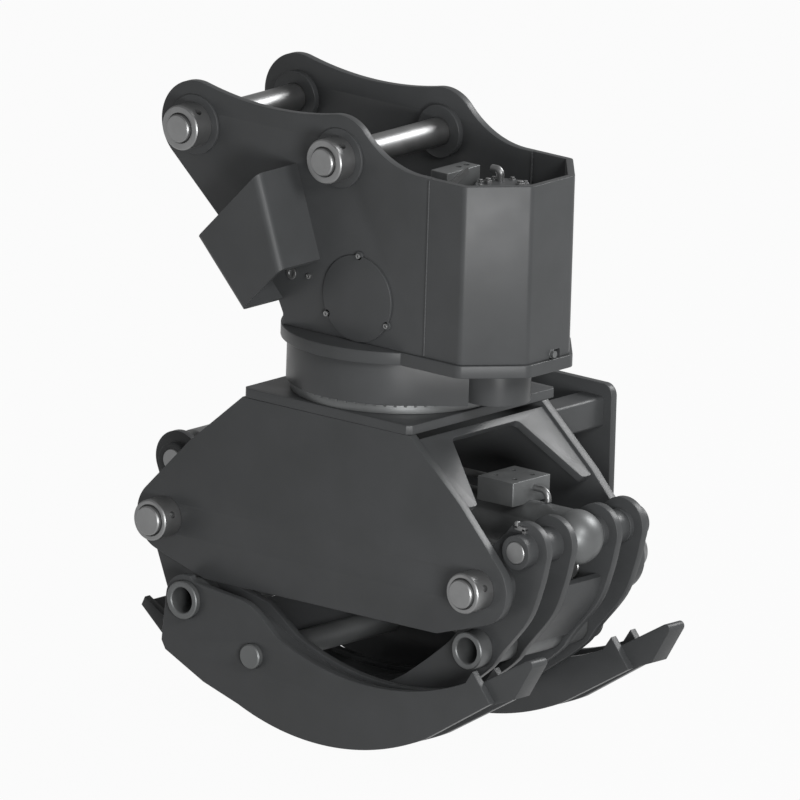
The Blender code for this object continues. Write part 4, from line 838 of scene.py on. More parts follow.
drive = {
    "module": 0.008, "ringTeeth": 64, "pinionTeeth": 16, "ringBore": 0.205, "flange": 0.259,
    "flangeHeight": 0.0225, "toothWidth": 0.080, "toothSink": 0.004, "pinionShort": 0.002,
    "raceBore": 0.154, "shaft": 0.030, "shaftSink": 0.004, "casingWall": 0.006, "noseShare": 0.55,
    "housing": 0.0847, "housingWall": 0.005, "housingFloor": 0.006, "housingRoof": 0.012,
    "housingGap": 0.0002, "ringBoreGap": 0.0005, "toothEdge": 0.0006,
}


def gearLine(teeth, phase):
    # Straight-sided teeth: four points to a tooth, at shares of the pitch about its middle.
    pitchRadius = drive["module"] * teeth / 2
    root = pitchRadius - 1.05 * drive["module"]
    tip = pitchRadius + 0.8 * drive["module"]
    middle = phase + 2 * math.pi * np.arange(teeth)[:, None] / teeth
    angles = (middle + np.array([-0.27, -0.12, 0.12, 0.27]) * 2 * math.pi / teeth).reshape(-1)
    radii = np.tile([root, tip, tip, root], teeth)
    return np.column_stack([radii * np.cos(angles), radii * np.sin(angles)])


def makeSlewingDrive():
    bore, soft, steps = drive["ringBore"], 0.001, 144
    flangeTop = deckTop + drive["flangeHeight"]
    toothLow = flangeTop - drive["toothSink"]
    toothHigh = toothLow + drive["toothWidth"]
    low = spanOf("ring_gear")[0][2]
    ring = ringShell(axisSpot, "Z", drive["flange"], bore, low, flangeTop, soft, steps)
    hole = ringLine(0, 0, bore + drive["ringBoreGap"], steps)
    teeth = plateShell(gearLine(drive["ringTeeth"], 0), [hole], toothLow, toothHigh, "Z",
                       drive["toothEdge"], 2)
    makeSteel("ringGear", [ring, teeth], greySteel, "Z", axisSpot, "lower_frame")
    low, high = spanOf("slew_race")
    race = ringShell(axisSpot, "Z", high[0], drive["raceBore"], low[2], high[2], soft, steps)
    makeSteel("slewRace", [race], greySteel, "Z", axisSpot, "headstock")
    low, high = spanOf("pinion")
    phase = math.pi + math.pi / drive["pinionTeeth"]
    line = gearLine(drive["pinionTeeth"], phase) + np.array([driveX, 0])
    gear = plateShell(line, [], low[2], toothHigh - drive["pinionShort"], "Z", drive["toothEdge"], 2)
    profile = [(low[2] + drive["shaftSink"], drive["shaft"]), (high[2], drive["shaft"])]
    shaft = turnedShell(profile, driveSpot, "Z", 0)
    makeSteel("pinionGear", [gear, shaft], greySteel, "Z", driveSpot, "pinion", "pinion")
    makeCasing()
    makeMotor()
    print("slewing drive made")


def casingLine(radius, reach):
    # Round about the slewing axis, with a straight wall at 45 degrees on each side of the nose.
    tip = radius * math.sqrt(2) - reach
    return np.vstack([arcLine(0, 0, radius, 45, 315, 130), [(tip, -reach), (tip, reach)]])


def makeCasing():
    low, high = spanOf("gear_casing")
    radius, outer = -low[0], drive["housing"]
    inner, reach = radius - drive["casingWall"], outer * drive["noseShare"]
    walls = plateShell(casingLine(radius, reach), [casingLine(inner, reach)], low[2], high[2], "Z", 0.001)
    casing = makePainted("gearCasing", [walls], "headstock")
    room = outer + drive["housingGap"]
    cutPiece(casing, [discShell(driveSpot, "Z", room, low[2] - cutSpare, high[2] + cutSpare, 0, 96)])
    low, high = spanOf("drive_housing")
    wall, floorTop = outer - drive["housingWall"], low[2] + drive["housingFloor"]
    profile = [(low[2], 0), (low[2], outer), (high[2], outer), (high[2], wall), (floorTop, wall),
               (floorTop, 0)]
    cup = makePainted("driveHousing", [turnedShell(profile, driveSpot, "Z", 0.0012, 96)], "headstock")
    top = high[2] - drive["housingRoof"]
    cutPiece(cup, [discShell(axisSpot, "Z", inner, low[2] - cutSpare, top, 0, 144)])


gearbox = {
    "step": 0.012, "flange": 0.026,
    "sides": ((0.030, 0), (0.075, 0), (0.078, 0.003), (0.084, 0.003), (0.087, 0)),
}
drum = {"bore": 0.030, "neck": 0.095}
motor = {
    "capHeight": 0.022, "capStep": 0.008, "capChamfer": 0.004, "boltCircle": 0.060, "bolts": 8,
    "boltStart": 0.3, "bolt": 0.0055, "boltHeight": 0.007, "washer": 0.002, "port": 0.008,
    "portSteps": (0.022, 0.052), "plugs": ((0.030, 0.030, 0.012, 0.006), (-0.036, -0.014, 0.010, 0.008)),
    "plugNeck": 0.005, "elbow": (-0.034, 0.030), "elbowRadius": 0.0100, "elbowBend": 0.012,
    "elbowHeight": 0.026, "elbowReach": 0.014, "strap": (0.017, 0.005),
    "strapEnds": ((-0.043, -0.002), (-0.112, -0.031)),
}


def makeBlock(name, body):
    # Square block with rounded edges, as large as its node.
    low, high = spanOf(nodeOf(name))
    outline = boxLine(low[0], high[0], low[1], high[1], 0.003)
    shell = plateShell(outline, [], low[2], high[2], "Z", 0.0012)
    return makeSteel(name, [shell], greySteel, "Z", (low + high) / 2, body)


def makeMotor():
    low, high = spanOf("slew_gearbox")
    flange = (high[0] - low[0]) / 2
    body = flange - gearbox["step"]
    profile = [(low[2], 0), (low[2], flange), (low[2] + gearbox["flange"], flange)]
    profile += [(low[2] + rise, body - depth) for rise, depth in gearbox["sides"]]
    shell = turnedShell([*profile, (high[2], body), (high[2], 0)], driveSpot, "Z", 0.001)
    makeSteel("slewGearbox", [shell], greySteel, "Z", driveSpot, "headstock")
    low, high = spanOf("slew_motor")
    radius, cut = (high[0] - low[0]) / 2, motor["capChamfer"]
    cap, capLow = radius - motor["capStep"], high[2] - motor["capHeight"]
    profile = [(low[2], 0), (low[2], radius), (capLow, radius), (capLow + cut, cap),
               (high[2] - cut, cap), (high[2], cap - cut), (high[2], 0)]
    makePainted("slewMotor", [turnedShell(profile, driveSpot, "Z", 0.0012)], "headstock")
    makeMotorFittings(high[2])
    low, high = spanOf("rotary_manifold")
    outer, bore, neck, face = (high[0] - low[0]) / 2, drum["bore"], drum["neck"], baseTop + fitGap
    profile = [(low[2], bore), (low[2], neck), (face, neck), (face, outer),
               (high[2], outer), (high[2], bore)]
    shell = turnedShell(profile, axisSpot, "Z", 0.001, closed=True)
    makeSteel("rotaryManifold", [shell], greySteel, "Z", axisSpot, "headstock")
    low, high = spanOf("valve_block")
    middleX = (low[0] + high[0]) / 2
    ports = [ringLine(middleX, high[1] - step, motor["port"], 32) for step in motor["portSteps"]]
    cutPiece(makeBlock("valveBlock", "headstock"),
             [plateShell(port, [], high[2] - 0.02, high[2] + 0.01, "Z", 0) for port in ports])


def studShell(x, y, reach, sides, low, high, edge=0.0008):
    return plateShell(ringLine(x, y, reach, sides), [], low, high, "Z", edge)


def makeMotorFittings(top):
    # Cap bolts with washers on a circle, two plugs, an elbow, and the strap that stays the valve block.
    shells = []
    washer, bolt = top + motor["washer"], motor["bolt"]
    for angle in np.arange(motor["bolts"]) * 2 * math.pi / motor["bolts"] + motor["boltStart"]:
        x, y = driveX + motor["boltCircle"] * math.cos(angle), motor["boltCircle"] * math.sin(angle)
        shells += [studShell(x, y, bolt * 1.5, 28, top - overlap, washer, 0.0006),
                   studShell(x, y, bolt, 6, washer - 0.0001, top + motor["boltHeight"], 0.0006)]
    for x, y, reach, height in motor["plugs"]:
        high = top + height
        shells += [studShell(driveX + x, y, reach, 6, top - overlap, high),
                   studShell(driveX + x, y, reach * 0.7, 28, high - overlap, high + motor["plugNeck"])]
    x, y = driveX + motor["elbow"][0], motor["elbow"][1]
    bend = motor["elbowBend"]
    rise = top + motor["elbowHeight"] - bend
    turn = np.linspace(0, math.pi / 2, 12)
    curve = np.column_stack([x - bend * (1 - np.cos(turn)), np.full(12, y), rise + bend * np.sin(turn)])
    path = np.vstack([[(x, y, top - overlap)], curve, [(x - bend - motor["elbowReach"], y, rise + bend)]])
    shells.append(carriedShell(path, ringLine(0, 0, motor["elbowRadius"], 24)))
    makeSteel("motorFittings", shells, brightSteel, "Z", driveSpot, "headstock", None)
    high = spanOf("valve_block")[1]
    wide, thick = motor["strap"]
    section = boxLine(-thick / 2, thick / 2, -wide / 2, wide / 2)
    path = [(high[0] + thick / 2 + fitGap, y, high[2] + z) for y, z in motor["strapEnds"]]
    strap = carriedShell(path, section, (1, 0, 0))
    makeSteel("valveStrap", [strap], brightSteel, "Y", (high[0], 0, high[2]), "headstock", None)


# Lower frame

lowerFrame = {
    "plateChamfer": 0.012, "plateCorner": 0.003, "bore": 0.115, "shoulderX": 0.432, "shoulderDrop": 0.167,
    "footX": 0.371, "footDrop": 0.505, "pivotLobe": 0.091, "edge": 0.0018,
}


def makeTopPlate():
    low, high = spanOf("top_plate")
    cut, corner = lowerFrame["plateChamfer"], lowerFrame["plateCorner"]
    outline = [(high[0] - cut, low[1]), (high[0], low[1] + cut), (high[0], high[1] - cut),
               (high[0] - cut, high[1]), (low[0] + cut, high[1]), (low[0], high[1] - cut),
               (low[0], low[1] + cut), (low[0] + cut, low[1])]
    outline = filletLine([(x, y, corner) for x, y in outline], 3)
    bore = ringLine(0, 0, lowerFrame["bore"], 96)
    shell = plateShell(outline, [bore], low[2], high[2], "Z", lowerFrame["edge"])
    makePainted("topPlate", [shell], "lower_frame")


def sideLine():
    # Straight down from the top plate to rounded lobes about the arm pivots.
    top, half = spanOf("frame_side_near")[1][2], spanOf("top_plate")[1][0]
    shoulderX, shoulderZ = lowerFrame["shoulderX"], deckTop - lowerFrame["shoulderDrop"]
    footX, footZ = lowerFrame["footX"], deckTop - lowerFrame["footDrop"]
    lobe = lowerFrame["pivotLobe"]
    return beltLine([(half, top, 0), (-half, top, 0), (-shoulderX, shoulderZ, 0), (-pivotX, pivotZ, lobe),
                     (-footX, footZ, 0), (footX, footZ, 0), (pivotX, pivotZ, lobe),
                     (shoulderX, shoulderZ, 0)])


def makeSides():
    holes = [ringLine(x, pivotZ, pivotRadius + fitGap) for x in (-pivotX, pivotX)]
    shell = plateShell(sideLine(), holes, frameInner, frameOuter, edge=lowerFrame["edge"])
    makePair("frameSide", [shell], "lower_frame")


window = {
    "start": 0.020, "topSide": 0.113, "lowSide": 0.039, "corner": 0.020, "thickness": 0.020, "tip": 0.012,
    "downSlope": 0.012, "depthStart": 0.006, "sideGap": 0.0005,
}


def makeEndPlates():
    # Plate on a slope between the sides: u runs down the slope, v along Y and w square to both.
    # Its upper edge ends level with the underside of the top plate.
    start = np.array([spanOf("top_plate")[1][0], deckLow - fitGap])
    slope = np.array([lowerFrame["shoulderX"], deckTop - lowerFrame["shoulderDrop"]]) - start
    length = np.linalg.norm(slope)
    slope /= length
    width = frameInner - window["sideGap"]
    top, low = frameInner - window["topSide"], frameInner - window["lowSide"]
    begin, tip, corner = window["start"], window["tip"], window["corner"]
    half = [(begin, top, corner), (length, low, tip), (length, width, tip), (0, width, 0)]
    corners = [(a, -b, radius) for a, b, radius in half[::-1]] + half
    axes = ((slope[0], 0, slope[1]), (0, 1, 0), (slope[1], 0, -slope[0]))
    origin = np.array([start[0], 0, start[1]]) + np.array(axes[0]) * window["downSlope"]
    origin += np.array(axes[2]) * window["depthStart"]
    shell = plateShell(filletLine(corners, 8), [], 0.0, window["thickness"], axes, 0.0012, origin=origin)
    shell["points"][:, 2] = np.minimum(shell["points"][:, 2], start[1])
    makePainted("endPlateRight", [shell], "lower_frame")
    makePainted("endPlateLeft", [mirrorShell(shell, "X")], "lower_frame")


panel = {
    "corner": 0.030, "edge": 0.002, "tubeCorner": 0.011, "tubeInnerCorner": 0.005, "tubeWall": 0.008,
    "bead": 0.0030,
}


def makeSidePanel():
    low, high = spanOf("side_panel")
    outline = boxLine(low[0], high[0], low[2], high[2], panel["corner"], 12)
    shell = plateShell(outline, [], low[1], high[1], edge=panel["edge"])
    makePainted("sidePanel", [shell], "lower_frame")
    for name in ("panelTube_left", "panelTube_right"):
        low, high = spanOf(nodeOf(name))
        wall = panel["tubeWall"]
        outer = boxLine(low[0], high[0], low[2], high[2], panel["tubeCorner"], 8)
        inner = boxLine(low[0] + wall, high[0] - wall, low[2] + wall, high[2] - wall,
                        panel["tubeInnerCorner"], 4)
        bead = np.column_stack([outer[:, 0], np.full(len(outer), low[1] + overlap), outer[:, 1]])
        shells = [plateShell(outer, [inner], low[1], high[1], edge=0.0008),
                  beadShell(bead, panel["bead"], (0, 1, 0), True)]
        makePainted(name, shells, "lower_frame")


def makeLowerFrame():
    makeTopPlate()
    makeSides()
    makeEndPlates()
    makeSidePanel()
    print("lower frame made")


# Arms. Their edges are lists of (across, drop): the distance from a pivot's x and the drop below it.

leftArm = {
    "upperX": 0.207, "upperDrop": 0.292, "lowerX": 0.061, "lowerDrop": 0.468, "step": 0.008,
    "webInset": 0.020, "webThickness": 0.018, "webStart": 0.235, "webEdge": 0.001, "headRadius": 0.062,
    "pivotLobe": 0.085, "edge": 0.0016, "nose": 0.012, "arcStart": -0.097, "arcEnd": -0.212,
    "outerTop": ((0.140, 0.134), (0.226, 0.1445), (0.316, 0.160)),
    "innerTop": ((0.133, 0.099), (0.226, 0.1485), (0.316, 0.168)),
    "outerHeel": ((0.175, 0.379), (0.051, 0.319), (0.038, 0.297)),
    "innerHeel": ((0.175, 0.379), (0.051, 0.319), (0.021, 0.267)),
    "outerArcs": (0.021, 0.201), "innerArcs": (0.025, 0.205), "webFoot": 0.175, "pocketFoot": 0.200,
    "webArcs": (-0.171, 0.036, 0.201), "pocketArcs": (-0.161, 0.130, 0.221), "footReach": 0.010,
    "plateTop": (0.528, 0.195), "plateLow": (0.587, 0.266),
    "toothTop": (0.723, 0.119), "toothLow": (0.647, 0.2465), "toothBack": (-0.117, 0.051),
}


def fromPivot(x, places):
    return [(x + across, pivotZ - drop) for across, drop in places]


def armArc(arm, edge, startX, endX, shift=0.0):
    # One arc of an arm's tines, "upper" or "lower", dropped by a further distance.
    return tineLine(arm[edge + "X"], arm[edge + "Drop"] + shift, startX, endX)


def leftOuterLine():
    # A head round the cross tube, then the tines' two arcs out to a cut tip.
    tubeX, tubeZ = middleOf("left_cross_tube")[[0, 2]]
    head = arcLine(tubeX, tubeZ, leftArm["headRadius"], 175, 78, 24)
    tip = fromPivot(0, [leftArm["plateTop"], leftArm["plateLow"]])
    upper = armArc(leftArm, "upper", leftArm["arcStart"], tip[0][0] - leftArm["outerArcs"][0])
    lower = armArc(leftArm, "lower", tip[1][0] - leftArm["outerArcs"][1], leftArm["arcEnd"])
    top = smoothLine([head[-1], *fromPivot(-pivotX, leftArm["outerTop"]), upper[0]])[1:-1]
    return np.vstack([head, top, upper, tip, lower, fromPivot(-pivotX, leftArm["outerHeel"])])


def smoothLine(points, count=6):
    # Catmull-Rom curve through the points, so that a stretch of given points has no corners.
    spots = np.vstack([points[0], points, points[-1]]).astype(float)
    share = np.linspace(0, 1, count, endpoint=False)[:, None]
    first, second, third, fourth = spots[:-3], spots[1:-2], spots[2:-1], spots[3:]
    pieces = 0.5 * (2 * second[:, None] + (third - first)[:, None] * share
                    + (2 * first - 5 * second + 4 * third - fourth)[:, None] * share**2
                    + (3 * second - first - 3 * third + fourth)[:, None] * share**3)
    return np.vstack([pieces.reshape(-1, 2), spots[-1]])


def leftInnerLine():
    # From the pivot down to the cross tube and along the tine, as far as the outer plate.
    pivot = arcLine(-pivotX, pivotZ, leftArm["pivotLobe"], 215, 20, 40)
    half = leftArm["step"] / 2
    tip = [(x + half, z - half) for x, z in fromPivot(0, [leftArm["plateTop"], leftArm["plateLow"]])]
    upper = armArc(leftArm, "upper", leftArm["arcStart"], tip[0][0] - leftArm["innerArcs"][0],
                   leftArm["step"])
    lower = armArc(leftArm, "lower", tip[1][0] - leftArm["innerArcs"][1], leftArm["arcEnd"])
    return np.vstack([pivot, fromPivot(-pivotX, leftArm["innerTop"]), upper, tip, lower,
                      fromPivot(-pivotX, leftArm["innerHeel"])])


def leftWebLines():
    # Band between the tine's plates, set in from their edges. It runs on past them as the tooth.
    topX = leftArm["plateTop"][0]
    lowX, lowDrop = leftArm["plateLow"]
    backX, backDrop = leftArm["toothBack"]
    inset, start = leftArm["webInset"], leftArm["webStart"] - pivotX
    begin, top, low = leftArm["webArcs"]
    reach = leftArm["footReach"]
    upper = armArc(leftArm, "upper", begin, topX - top, inset)
    tooth = fromPivot(0, [leftArm["toothTop"], leftArm["toothLow"], (lowX + backX, lowDrop + backDrop)])
    corners = [(*upper[-1], 0), (*tooth[0], leftArm["nose"]), (*tooth[1], 0), (*tooth[2], 0)]
    outer = np.vstack([[(start, pivotZ - leftArm["webFoot"])], upper, filletLine(corners, 8)[1:],
                       armArc(leftArm, "lower", lowX - low, start + reach, -inset)])
    inset += leftArm["webThickness"]
    start += leftArm["webThickness"]
    begin, top, low = leftArm["pocketArcs"]
    pocket = np.vstack([[(start, pivotZ - leftArm["pocketFoot"])],
                        armArc(leftArm, "upper", begin, topX - top, inset),
                        armArc(leftArm, "lower", lowX - low, start + reach, -inset)])
    return outer, pocket


def makeLeftArm():
    tube, bar = middleOf("left_cross_tube"), middleOf("left_cross_bar")
    tubeHole = ringLine(tube[0], tube[2], boreOf("left_cross_tube"))
    barHole = ringLine(bar[0], bar[2], boreOf("left_cross_bar"))
    pivotHole = ringLine(-pivotX, pivotZ, pivotRadius + runGap)
    outerLow, outerHigh = (corner[1] for corner in spanOf("left_tine_outer_far"))
    innerLow = spanOf("left_tine_inner_far")[0][1]
    innerHigh = innerLow + armPlate
    edge = leftArm["edge"]
    outer = plateShell(leftOuterLine(), [tubeHole, barHole], outerLow, outerHigh, edge=edge)
    webLine, pocket = leftWebLines()
    inner = [plateShell(leftInnerLine(), [pivotHole, tubeHole, barHole], innerLow, innerHigh, edge=edge),
             plateShell(webLine, [pocket], innerHigh - overlap, outerLow - fitGap,
                        edge=leftArm["webEdge"])]
    makePair("leftTineOuter", [outer], "left_arm")
    makePair("leftTineInner", inner, "left_arm")
    makeLeftLevers(tube, tubeHole, pivotHole)
    makeBackPlate(tube, bar)
    print("left arm made")


lever = {
    "lobe": 0.070, "middle": 0.080, "upperBelly": (-0.02, -0.03), "lowerBelly": 0.01, "tubeLobe": 0.066,
    "hub": 0.060, "boss": 0.043, "edge": 0.0016, "plateY": 0.1095, "endY": 0.141,
}


def makeLeftLevers(tube, tubeHole, pivotHole):
    middle = lever["middle"]
    across, rise = lever["upperBelly"]
    outline = beltLine([(-leverX, leverZ, lever["lobe"]), (-pivotX + across, pivotZ + rise, middle),
                        (tube[0], tube[2], lever["tubeLobe"]),
                        (-pivotX + lever["lowerBelly"], pivotZ, middle)])
    bore, boss = boreOf("left_top_pin"), lever["boss"]
    low, high = spanOf("left_lever_far")
    inner, outer = lever["plateY"] - armPlate / 2, lever["plateY"] + armPlate / 2
    holes = [ringLine(-leverX, leverZ, bore), pivotHole, tubeHole]
    makePair("leftLever", [
        plateShell(outline, holes, inner, outer, edge=lever["edge"]),
        bossShell(-leverX, leverZ, boss, bore, low[1], inner + overlap),
        bossShell(-leverX, leverZ, boss, bore, outer - overlap, lever["endY"]),
        bossShell(-pivotX, pivotZ, lever["hub"], pivotRadius + runGap, outer - overlap, high[1]),
    ], "left_arm")


backPlate = {"start": 0.074, "thickness": 0.018, "edge": 0.0012}


def makeBackPlate(tube, bar):
    # Stiffening plate from the cross tube to the bar, along the line between their middles.
    start = tube[[0, 2]]
    along = bar[[0, 2]] - start
    length = np.linalg.norm(along)
    along /= length
    normal = np.array([-along[1], along[0]])
    begin, end = backPlate["start"], length - barOf("left_cross_bar")[1] - overlap
    half = backPlate["thickness"] / 2
    corners = [start + along * a + normal * b for a, b in boxLine(begin, end, -half, half)]
    low, high = spanOf("left_back_plate")
    shell = plateShell(corners, [], low[1], high[1], edge=backPlate["edge"])
    makePainted("leftBackPlate", [shell], "left_arm")


rightArm = {
    "upperX": -0.165, "upperDrop": 0.387, "lowerX": -0.110, "lowerDrop": 0.477, "inset": 0.012,
    "web": 0.018, "edge": 0.0016, "webEdge": 0.001, "outerY": 0.183, "innerY": 0.086, "ring": 0.013,
    "ringGap": 0.003, "pinEnd": 0.002, "pivotLobe": 0.086,
    "tipLow": (0.543, 0.3325), "tipEnd": (0.626, 0.2605), "tipTop": (0.616, 0.2385),
    "legArcs": ((0.317, 0.118), (0.120, 0.216)), "webArcs": ((0.200, 0.120), (0.118, 0.243)),
    "pocketArcs": ((0.177, 0.226), (0.184, 0.210)), "webTip": ((0.018, 0.013), (0.005, 0.011)),
    "back": ((0.136, -0.012), (0.100, 0.075), (0.021, 0.170), (-0.014, 0.216), (-0.092, 0.277)),
    "front": ((-0.1965, 0.213), (-0.128, 0.1485), (-0.090, 0.059)),
    "crossOutside": ((0.112, 0.006), (0.090, 0.075), (0.012, 0.170)),
    "crossInside": ((0.000, 0.156), (0.074, 0.066), (0.094, 0.001)),
    "keeper": ((-0.012, 0.054, 0.034, 0.011), (-0.024, 0.062, 0.010, 0.016),
               (0.000, 0.047, 0.010, 0.016)),
    "keeperThickness": 0.010,
}


def rightLegLine():
    # From the cylinder's pin down past the pivot, then along the tine to the left.
    lobe = arcLine(leverX, leverZ, lever["lobe"], 150, -20, 44)
    ends = [rightArm["tipLow"], rightArm["tipEnd"], rightArm["tipTop"]]
    (lowStart, lowEnd), (topStart, topEnd) = rightArm["legArcs"]
    lower = armArc(rightArm, "lower", lowStart, lowEnd - ends[0][0])
    tip = [(-x, z) for x, z in fromPivot(0, ends)]
    upper = armArc(rightArm, "upper", topStart - ends[2][0], topEnd)
    back = smoothLine([lobe[-1], *fromPivot(pivotX, rightArm["back"]), lower[0]])[1:-1]
    shoulder = arcLine(pivotX, pivotZ, rightArm["pivotLobe"], 190, 150, 12)
    front = smoothLine([upper[-1], *fromPivot(pivotX, rightArm["front"]), shoulder[0]])[1:-1]
    return np.vstack([lobe, back, lower, tip, upper, front, shoulder])


def rightWebLines():
    # Band between the leg's plates and the hollow in it, both set in from the plates' edges.
    inset = rightArm["inset"]
    lowX, lowDrop = rightArm["tipLow"]
    endX, endDrop = rightArm["tipEnd"]
    topX = rightArm["tipTop"][0]
    (endAside, endRise), (lowAside, lowRise) = rightArm["webTip"]
    tip = fromPivot(0, [(endAside - endX, endDrop - endRise), (lowAside - lowX, lowDrop - lowRise)])
    lines = []
    for arcs, further, middle in (("webArcs", inset, tip), ("pocketArcs", inset + rightArm["web"], [])):
        (topStart, topEnd), (lowStart, lowEnd) = rightArm[arcs]
        lines.append(np.vstack([
            armArc(rightArm, "upper", topStart, topEnd - topX, further), *np.reshape(middle, (-1, 1, 2)),
            armArc(rightArm, "lower", lowStart - lowX, lowEnd, -further)]))
    return lines


def makeKeeper(face):
    # Lock plate on the lobe of the near leg, with two tabs that hold the top pin.
    outerFace = face - rightArm["keeperThickness"]
    shells = []
    for x, z, wide, tall in rightArm["keeper"]:
        x, z = leverX + x, leverZ + z
        outline = boxLine(x - wide / 2, x + wide / 2, z - tall / 2, z + tall / 2, 0.002)
        shells.append(plateShell(outline, [], outerFace, face + overlap, edge=0.0008))
    makeSteel("pinKeeper", shells, brightSteel, "Y", (leverX, 0, leverZ), "right_arm", None)


def makeRightArm():
    tube = middleOf("right_cross_tube")
    bore, running, half = boreOf("right_top_pin"), pivotRadius + runGap, armPlate / 2
    holes = [ringLine(leverX, leverZ, bore), ringLine(pivotX, pivotZ, running),
             ringLine(tube[0], tube[2], boreOf("right_cross_tube"))]
    innerFace, gapLow = rightArm["innerY"] - half, rightArm["innerY"] + half
    gapHigh, outerFace = rightArm["outerY"] - half, rightArm["outerY"] + half
    ringEnd = gapHigh - rightArm["ring"]
    innerLow, innerHigh = spanOf("right_leg_inner_far")
    outline, edge = rightLegLine(), rightArm["edge"]
    webLine, pocket = rightWebLines()

    def bosses(spans, end):
        # Bosses round the top pin, and the hub round the pivot from the plate's face to its end.
        found = [bossShell(leverX, leverZ, lever["boss"], bore, *span) for span in spans]
        return found + [bossShell(pivotX, pivotZ, lever["hub"], running, *end)]

    inner = [plateShell(outline, holes, innerFace, gapLow, edge=edge)]
    inner += bosses([(innerLow[1], innerFace + overlap),
                     (gapLow - overlap, ringEnd - rightArm["ringGap"])],
                    (gapLow - overlap, innerHigh[1]))
    outer = [plateShell(outline, holes, gapHigh, outerFace, edge=edge),
             plateShell(webLine, [pocket], gapLow + fitGap, gapHigh + overlap, edge=rightArm["webEdge"])]
    pinEnd = barOf("right_top_pin")[3] - rightArm["pinEnd"]
    outer += bosses([(ringEnd, gapHigh + overlap), (outerFace - overlap, pinEnd)],
                    (outerFace - overlap, spanOf("right_leg_outer_far")[1][1]))
    makePair("rightLegInner", inner, "right_arm")
    makePair("rightLegOuter", outer, "right_arm")
    makeKeeper(-outerFace)
    low, high = spanOf("right_cross_plate")
    outline = np.vstack([smoothLine(fromPivot(pivotX, rightArm[side]), 8)
                         for side in ("crossOutside", "crossInside")])
    makePainted("rightCrossPlate", [plateShell(outline, [], low[1], high[1], edge=0.001)], "right_arm")
    print("right arm made")


# Cylinder

cylinder = {
    "ball": 0.069, "barrel": 0.066, "bore": 0.055, "boreEnd": 1.24, "ballWidth": 0.113, "rod": 0.030,
    "eye": 0.062, "piston": 0.060, "glandStep": 0.004, "rodStart": 0.02,
}


def makeCylinder():
    ball, barrel, bore, rod = (cylinder[key] for key in ("ball", "barrel", "bore", "rod"))
    center, pinBore = (leverX, 0, leverZ), boreOf("right_top_pin", runGap)
    start = spanOf("cylinder_barrel")[0][0]
    turn = np.linspace(0, math.pi - math.asin(barrel / ball), 40)
    end, floor = start - leverX, -ball * cylinder["boreEnd"]
    profile = np.vstack([np.column_stack([ball * np.cos(turn), ball * np.sin(turn)]),
                         [(end, barrel), (end, bore), (floor, bore), (floor, 0)]])
    shell = turnedShell(profile, center, "X", 0, 96)
    piece = makeSteel("cylinderBarrel", [shell], greySteel, "X", center, "barrel")
    half = cylinder["ballWidth"] / 2
    flat = ringLine(leverX, leverZ, ball + 0.01, 48)
    cutPiece(piece, [
        plateShell(flat, [], half, ball + cutSpare, "Y", 0),
        plateShell(flat, [], -ball - cutSpare, -half, "Y", 0),
        plateShell(ringLine(leverX, leverZ, pinBore, 64), [], -half - 0.01, half + 0.01, "Y", 0)])
    low, high = (corner[0] for corner in spanOf("cylinder_gland"))
    head, inside, outside = start - fitGap, bore - fitGap, barrel - cylinder["glandStep"]
    profile = [(low, rod + runGap), (low, outside), (head, outside), (head, inside), (high, inside),
               (high, rod + runGap)]
    gland = turnedShell(profile, (0, 0, leverZ), "X", 0.001, closed=True)
    makeSteel("cylinderGland", [gland], greySteel, "X", center, "barrel")
    high = spanOf("cylinder_rod")[1][0]
    start, reach = high - cylinder["piston"], bore - runGap
    profile = [(-leverX + cylinder["rodStart"], rod), (start, rod), (start, reach), (high, reach)]
    eye = plateShell(ringLine(-leverX, leverZ, cylinder["eye"]), [ringLine(-leverX, leverZ, pinBore)],
                     -half, half, "Y", 0.003)
    makeSteel("cylinderRod", [turnedShell(profile, (0, 0, leverZ), "X", 0.001), eye], brightSteel, "X",
              (0, 0, leverZ), "rod")
    makeManifold()
    print("cylinder made")


manifold = {"port": 0.007, "portSpots": (0.030, 0.034), "portDepth": 0.012, "bend": 0.022}


def makeManifold():
    # Block saddled on the barrel, and a pipe from each of its sides that bends down into the barrel.
    low, high = spanOf("manifold_block")
    middle = middleOf("manifold_block")
    across, aside = manifold["portSpots"]
    saddle = cylinder["barrel"] + fitGap
    cuts = [discShell((0, 0, leverZ), "X", saddle, low[0] - cutSpare, high[0] + cutSpare, 0, 96)]
    for x, y in ((across, aside), (across, -aside), (-across, aside), (-across, -aside)):
        port = ringLine(middle[0] + x, middle[1] + y, manifold["port"], 28)
        cuts.append(plateShell(port, [], high[2] - manifold["portDepth"], high[2] + 0.01, "Z", 0))
    cutPiece(makeBlock("manifoldBlock", "barrel"), cuts)
    bend, turn = manifold["bend"], np.linspace(math.pi / 2, 0, 16)
    for node, side in (("pipe_base_end", 1), ("pipe_rod_end", -1)):
        low, high = spanOf(node)
        radius, middleY = (high[1] - low[1]) / 2, (high[1] + low[1]) / 2
        start, end = (low[0], high[0]) if side > 0 else (high[0], low[0])
        far, level = end - side * radius, high[2] - radius
        straight = np.column_stack([np.linspace(start, far - side * bend, 6), np.full(6, level)])
        curve = np.column_stack([far - side * bend + side * bend * np.cos(turn),
                                 level - bend + bend * np.sin(turn)])
        path = np.vstack([straight[:-1], curve, [(far, low[2])]])
        path = np.column_stack([path[:, 0], np.full(len(path), middleY), path[:, 1]])
        pipe = carriedShell(path, ringLine(0, 0, radius, 28))
        makeSteel(node.replace("_", ""), [pipe], brightSteel, "X", (0, middleY, level), "barrel", node)


# Camera, floor and lamps

view = {
    "azimuth": 39.3, "elevation": 14.3, "roll": 1.83, "metresPerPixel": 0.002454, "imagePixels": 800,
    "axisPixelX": 395.6, "deckPixelY": 388.3, "distance": 9.0,
}


